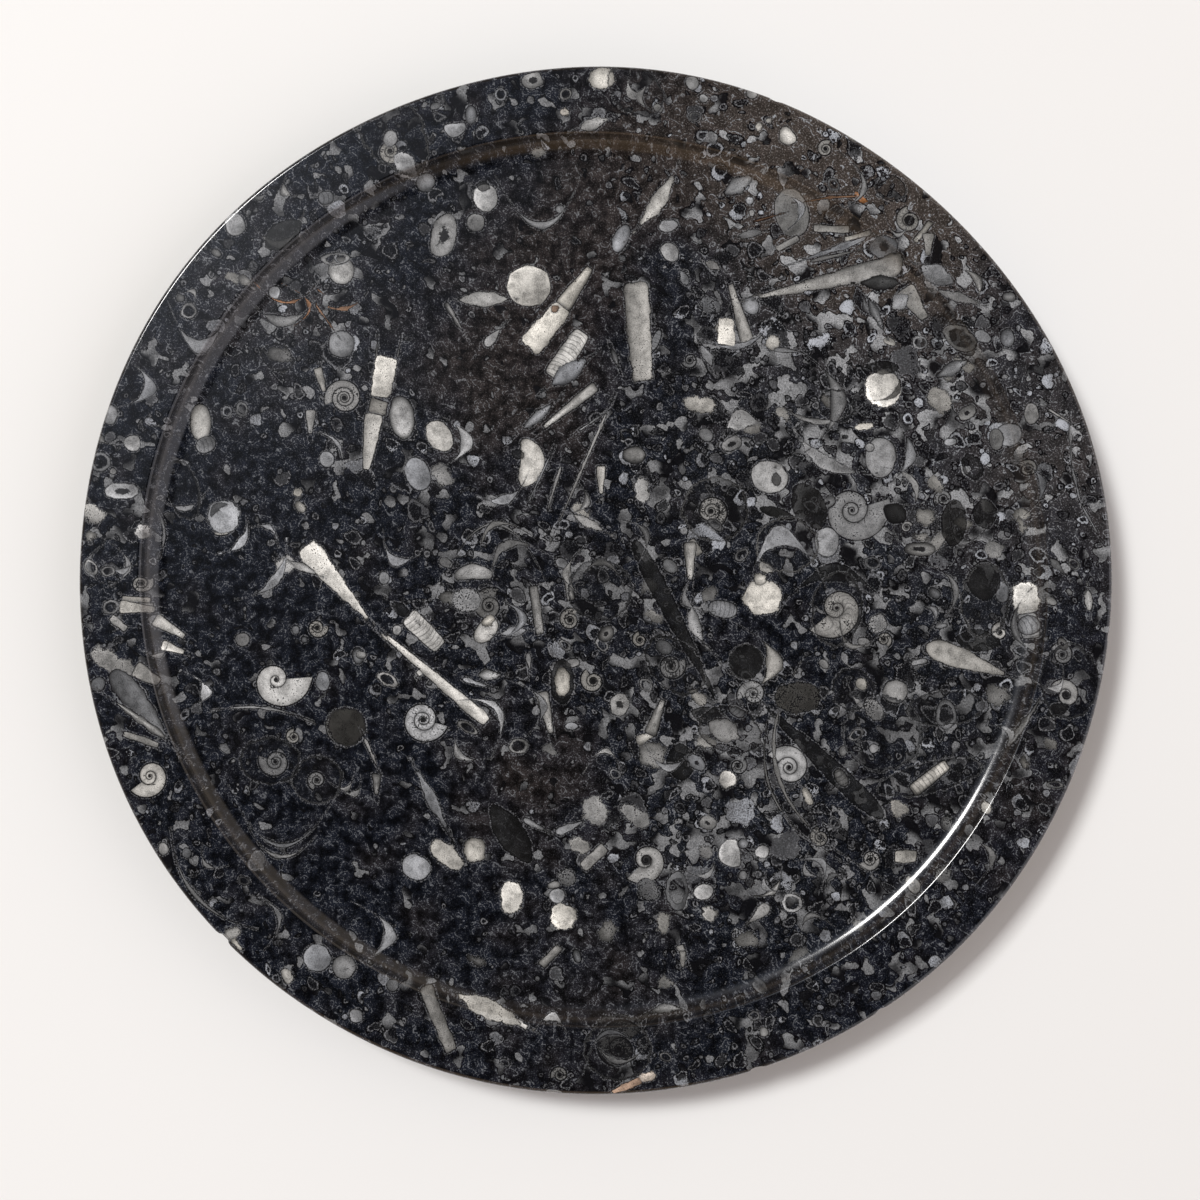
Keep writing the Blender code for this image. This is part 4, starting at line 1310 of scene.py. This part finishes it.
# the stone's own plane in mm: plan x and y on top, and past the rim its radius plus the arc
# length from there, so that the side is rolled out flat
def slabPlace(points, arcs, angles, info):
    radius = np.hypot(points[:, 0], points[:, 1])
    edgeRadius = section["radius"] - section["rimArris"] + (arcs - info["rimEnd"])
    beyond = arcs > info["rimEnd"]
    radius = np.where(beyond, edgeRadius, radius)
    return np.stack([radius * np.cos(angles), radius * np.sin(angles)], axis=1)


# the bake's map. Top: the plan itself, filling the square. Underside and side: four quarter
# discs, each with its point in a corner of the square, turned the other way as they face down
bakeMap = dict(topReach=0.498, cornerReach=0.2035, margin=0.001)


def bakePlace(points, arcs, quadAngles, info):
    topPlace = 0.5 + points[:, :2] * bakeMap["topReach"] / section["radius"]
    out = (arcs.max() - arcs) / (arcs.max() - info["rimEnd"]) * bakeMap["cornerReach"]
    quarter = np.floor((quadAngles % math.tau) / (math.pi / 2)).astype(int) % 4
    return topPlace, out, quarter


# a quarter disc's corner of the square, plus the radius at the angle mirrored about its start
def cornerPlace(out, angle, quarter):
    start = quarter * math.pi / 2
    within = (angle - start + math.pi) % math.tau - math.pi
    turn = math.radians(270) + start - within
    cornerX = np.array([1.0, 0.0, 0.0, 1.0])[quarter]
    cornerY = np.array([1.0, 1.0, 0.0, 0.0])[quarter]
    place = np.stack([cornerX + out * np.cos(turn), cornerY + out * np.sin(turn)], axis=-1)
    return place * (1 - 2 * bakeMap["margin"]) + bakeMap["margin"]


# plain values plus each region's, which falls off with distance as a bell
def groundAt(place):
    values = np.tile(np.array(ground["plain"]), (len(place), 1))
    for x, y, reach, *adds in ground["regions"]:
        cx, cy = planPoint(x, y)
        away = np.hypot(place[:, 0] - cx, place[:, 1] - cy) / (reach * planUnit)
        values += np.exp(-away ** 2 * ground["fade"])[:, None] * np.array(adds)
    return np.clip(values, 0, ground["most"])


# the underside shows the slab turned over, turned round, and with other loose shells
underside = dict(turn=137, hashShift=400.0)


def makeStone():
    points, normals, arcs, angles, quads, joins, info = makePlate()
    chipped = chipEdge(points)
    faceCount = len(quads) + len(joins)
    mesh = bpy.data.meshes.new("polished_fossil_plate")
    mesh.from_pydata((points * mm).tolist(), [], quads.tolist() + joins.tolist())
    print("plate mesh", len(points), "vertices", faceCount, "faces", flush=True)

    loops = np.concatenate([quads.ravel(), joins.ravel()])
    quadLoops = quads.size
    upper = info["top"] + info["bands"]
    slab = slabPlace(points, arcs, angles, info)
    turned = math.radians(underside["turn"])
    below = np.stack([
        points[:, 0] * math.cos(turned) + points[:, 1] * math.sin(turned),
        points[:, 0] * math.sin(turned) - points[:, 1] * math.cos(turned),
    ], axis=1)
    isBelow = np.arange(len(loops)) >= upper * 4
    placed = np.where(isBelow[:, None], below[loops], slab[loops])
    corners = placed[:quadLoops].reshape(-1, 4, 2)

    slabMap = mesh.uv_layers.new(name="slab")
    shifted = placed + np.where(isBelow[:, None], np.array([[underside["hashShift"], 0.0]]), 0.0)
    slabMap.data.foreach_set("uv", shifted.astype(np.float32).ravel())

    faceOf = np.repeat(np.arange(faceCount), [4] * len(quads) + [3] * len(joins))
    centres = np.zeros((faceCount, 2))
    np.add.at(centres, faceOf, points[loops, :2])
    faceAngle = np.arctan2(centres[:, 1], centres[:, 0])
    topPlace, out, quarter = bakePlace(points, arcs, faceAngle[faceOf], info)
    bake = cornerPlace(out[loops], angles[loops], quarter)
    onTop = np.arange(len(loops)) < info["top"] * 4
    bake = np.where(onTop[:, None], topPlace[loops], bake)
    mesh.uv_layers.new(name="OFBake").data.foreach_set("uv", bake.astype(np.float32).ravel())

    plan = np.where((arcs > info["baseEnd"] - 0.001)[:, None], below, slab)
    region = groundAt(plan)
    writeAttribute(mesh, "ground", "POINT", np.concatenate([region, np.ones((len(points), 1))], axis=1))

    owners = {}
    for prefix, items, extra in (
        ("shell", shellItems(), ("form", "look", "marks")), ("coil", coilItems(), ("look", "marks")),
    ):
        owners[prefix] = placeItems(items, layers[prefix], corners, prefix)
        writeLayers(mesh, items, owners[prefix], corners, prefix, extra, len(joins))
    giveMaterials(mesh, owners, faceCount)

    # the section's own normals shade the plate, and the mesh's own the flakes
    mesh.shade_smooth()
    mesh.update()
    own = np.empty(len(points) * 3)
    mesh.vertices.foreach_get("normal", own)
    normals[chipped] = own.reshape(-1, 3)[chipped]
    mesh.normals_split_custom_set_from_vertices(normals.tolist())
    plate = bpy.data.objects.new("polished_fossil_plate", mesh)
    bpy.context.scene.collection.objects.link(plate)
    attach(plate, "root")
    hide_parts("fossil_plate")


# loose shells in three sizes: cell in mm, cover for the shell density, cover anywhere, seed,
# brightness
looseShells = [(2.7, 0.40, 0.02, 17.3, 0.7), (5.6, 0.85, 0.02, 41.9, 0.9), (11.0, 1.10, -0.28, 83.1, 0.8)]


# one material for each depth of layers, so that bare stone isn't charged for shells
def stoneMaterial(coilCount, shellCount, groups):
    material = bpy.data.materials.new(f"fossil_stone_{coilCount}_{shellCount}")
    material.use_nodes = True
    tree = material.node_tree
    shader = tree.nodes["Principled BSDF"]
    place = Wire(tree, addNode(tree, "ShaderNodeUVMap", uv_map="slab").outputs[0])
    region, _ = attribute(tree, "ground")
    density, warmth, haze = region.parts()
    mud = useGroup(tree, groups["mud"], Place=place, Density=density, Warmth=warmth, Haze=haze)
    colour, calcite = mud["Color"], mud["Calcite"]
    shared = dict(Grain=mud["Grain"], Cloud=mud["Cloud"], Bits=mud["Bits"])
    for cell, cover, least, seed, bright in looseShells:
        found = useGroup(tree, groups["hash"], Place=place, Under=colour, Cell=cell, Seed=seed,
                         Cover=density * cover + least, Bright=haze * 0.5 + bright * 0.6, **shared)
        colour, calcite = found["Color"], calcite.atLeast(found["Calcite"])
    for layer in range(coilCount):
        local, growth = attribute(tree, f"coil{layer}_local")
        look, seed = attribute(tree, f"coil{layer}_look")
        marks, _ = attribute(tree, f"coil{layer}_marks")
        found = useGroup(tree, groups["coil"], Under=colour, Local=local, Growth=growth, Look=look,
                         Seed=seed, Marks=marks, **shared)
        colour, calcite = found["Color"], calcite.atLeast(found["Calcite"])
    for layer in range(shellCount):
        local, width = attribute(tree, f"shell{layer}_local")
        form, pinch = attribute(tree, f"shell{layer}_form")
        look, seed = attribute(tree, f"shell{layer}_look")
        marks, spots = attribute(tree, f"shell{layer}_marks")
        found = useGroup(tree, groups["shell"], Under=colour, Local=local, Width=width, Form=form,
                         Pinch=pinch, Look=look, Seed=seed, Marks=marks, Spots=spots, **shared)
        colour, calcite = found["Color"], calcite.atLeast(found["Calcite"])
    feed(tree, colour, shader.inputs["Base Color"])
    rougher = calcite * stone["calciteRoughness"]
    feed(tree, rougher + stone["roughness"], shader.inputs["Roughness"])
    shader.inputs["IOR"].default_value = stone["ior"]
    shader.inputs["Metallic"].default_value = 0.0
    return material


def giveMaterials(mesh, owners, faceCount):
    groups = dict(mud=mudGroup(), hash=hashGroup(), shell=shellGroup(), coil=coilGroup())
    depth = {}
    for prefix, owner in owners.items():
        steps = np.arange(1, len(owner) + 1)[:, None]
        deepest = ((owner >= 0) * steps).max(axis=0)
        depth[prefix] = np.pad(deepest, (0, faceCount - len(deepest)))
    coilDepth = np.where(depth["coil"] > 0, layers["coil"], 0)
    shellDepth = np.where(depth["shell"] > layers["pooled"], layers["shell"], depth["shell"])
    kindOf = np.zeros(faceCount, int)
    for coilCount in np.unique(coilDepth):
        for shellCount in np.unique(shellDepth[coilDepth == coilCount]):
            here = (coilDepth == coilCount) & (shellDepth == shellCount)
            kindOf[here] = len(mesh.materials)
            mesh.materials.append(stoneMaterial(int(coilCount), int(shellCount), groups))
            print("coils", coilCount, "shells", shellCount, "faces", int(here.sum()), flush=True)
    mesh.polygons.foreach_set("material_index", kindOf.astype(np.int32))


# the sky: dark overhead, lighter round about and low down, with a glow about the key and a
# soft round patch of light for each bank, all added up
def makeWorld():
    world = bpy.data.worlds.new("studio")
    bpy.context.scene.world = world
    world.use_nodes = True
    tree = world.node_tree
    towards = Wire(tree, addNode(tree, "ShaderNodeTexCoord").outputs["Generated"])
    _, _, z = towards.parts()

    def facing(turn, lean):
        # cosine of the angle to a direction of the sky
        turn, lean = math.radians(turn), math.radians(lean)
        node = addNode(tree, "ShaderNodeVectorMath", operation="DOT_PRODUCT")
        feed(tree, towards, node.inputs[0])
        node.inputs[1].default_value = (
            math.sin(lean) * math.cos(turn), math.sin(lean) * math.sin(turn), math.cos(lean))
        return Wire(tree, node.outputs["Value"])

    level = z.smooth(*studio["overheadEdge"]) * (studio["around"] - studio["overhead"])
    level = level + studio["overhead"]
    level = level + z.smooth(*studio["horizonEdge"]) * (studio["horizon"] - studio["around"])
    glow = facing(studio["keyTurn"], studio["keyLean"]) - studio["glowEdge"]
    glow = (glow / (1.0 - studio["glowEdge"])).atLeast(0.0) ** studio["glowFall"] * studio["skyGlow"]
    light = vectorNode(tree, "SCALE", studio["roomColour"], level)
    light = vectorNode(tree, "ADD", light, vectorNode(tree, "SCALE", studio["skyColour"], glow))
    for turn, lean, half, strength, colour in studio["banks"]:
        bank = facing(turn, lean).smooth(*half) * strength
        light = vectorNode(tree, "ADD", light, vectorNode(tree, "SCALE", colour, bank))
    feed(tree, light, tree.nodes["Background"].inputs["Color"])


print("frame loaded", flush=True)
makeStone()
print("stone made", flush=True)
makeStudio()
makeWorld()
makeCamera(section["height"] * mm)
print("studio, sky and camera made", flush=True)
bpy.context.scene.view_settings.view_transform = "Standard"
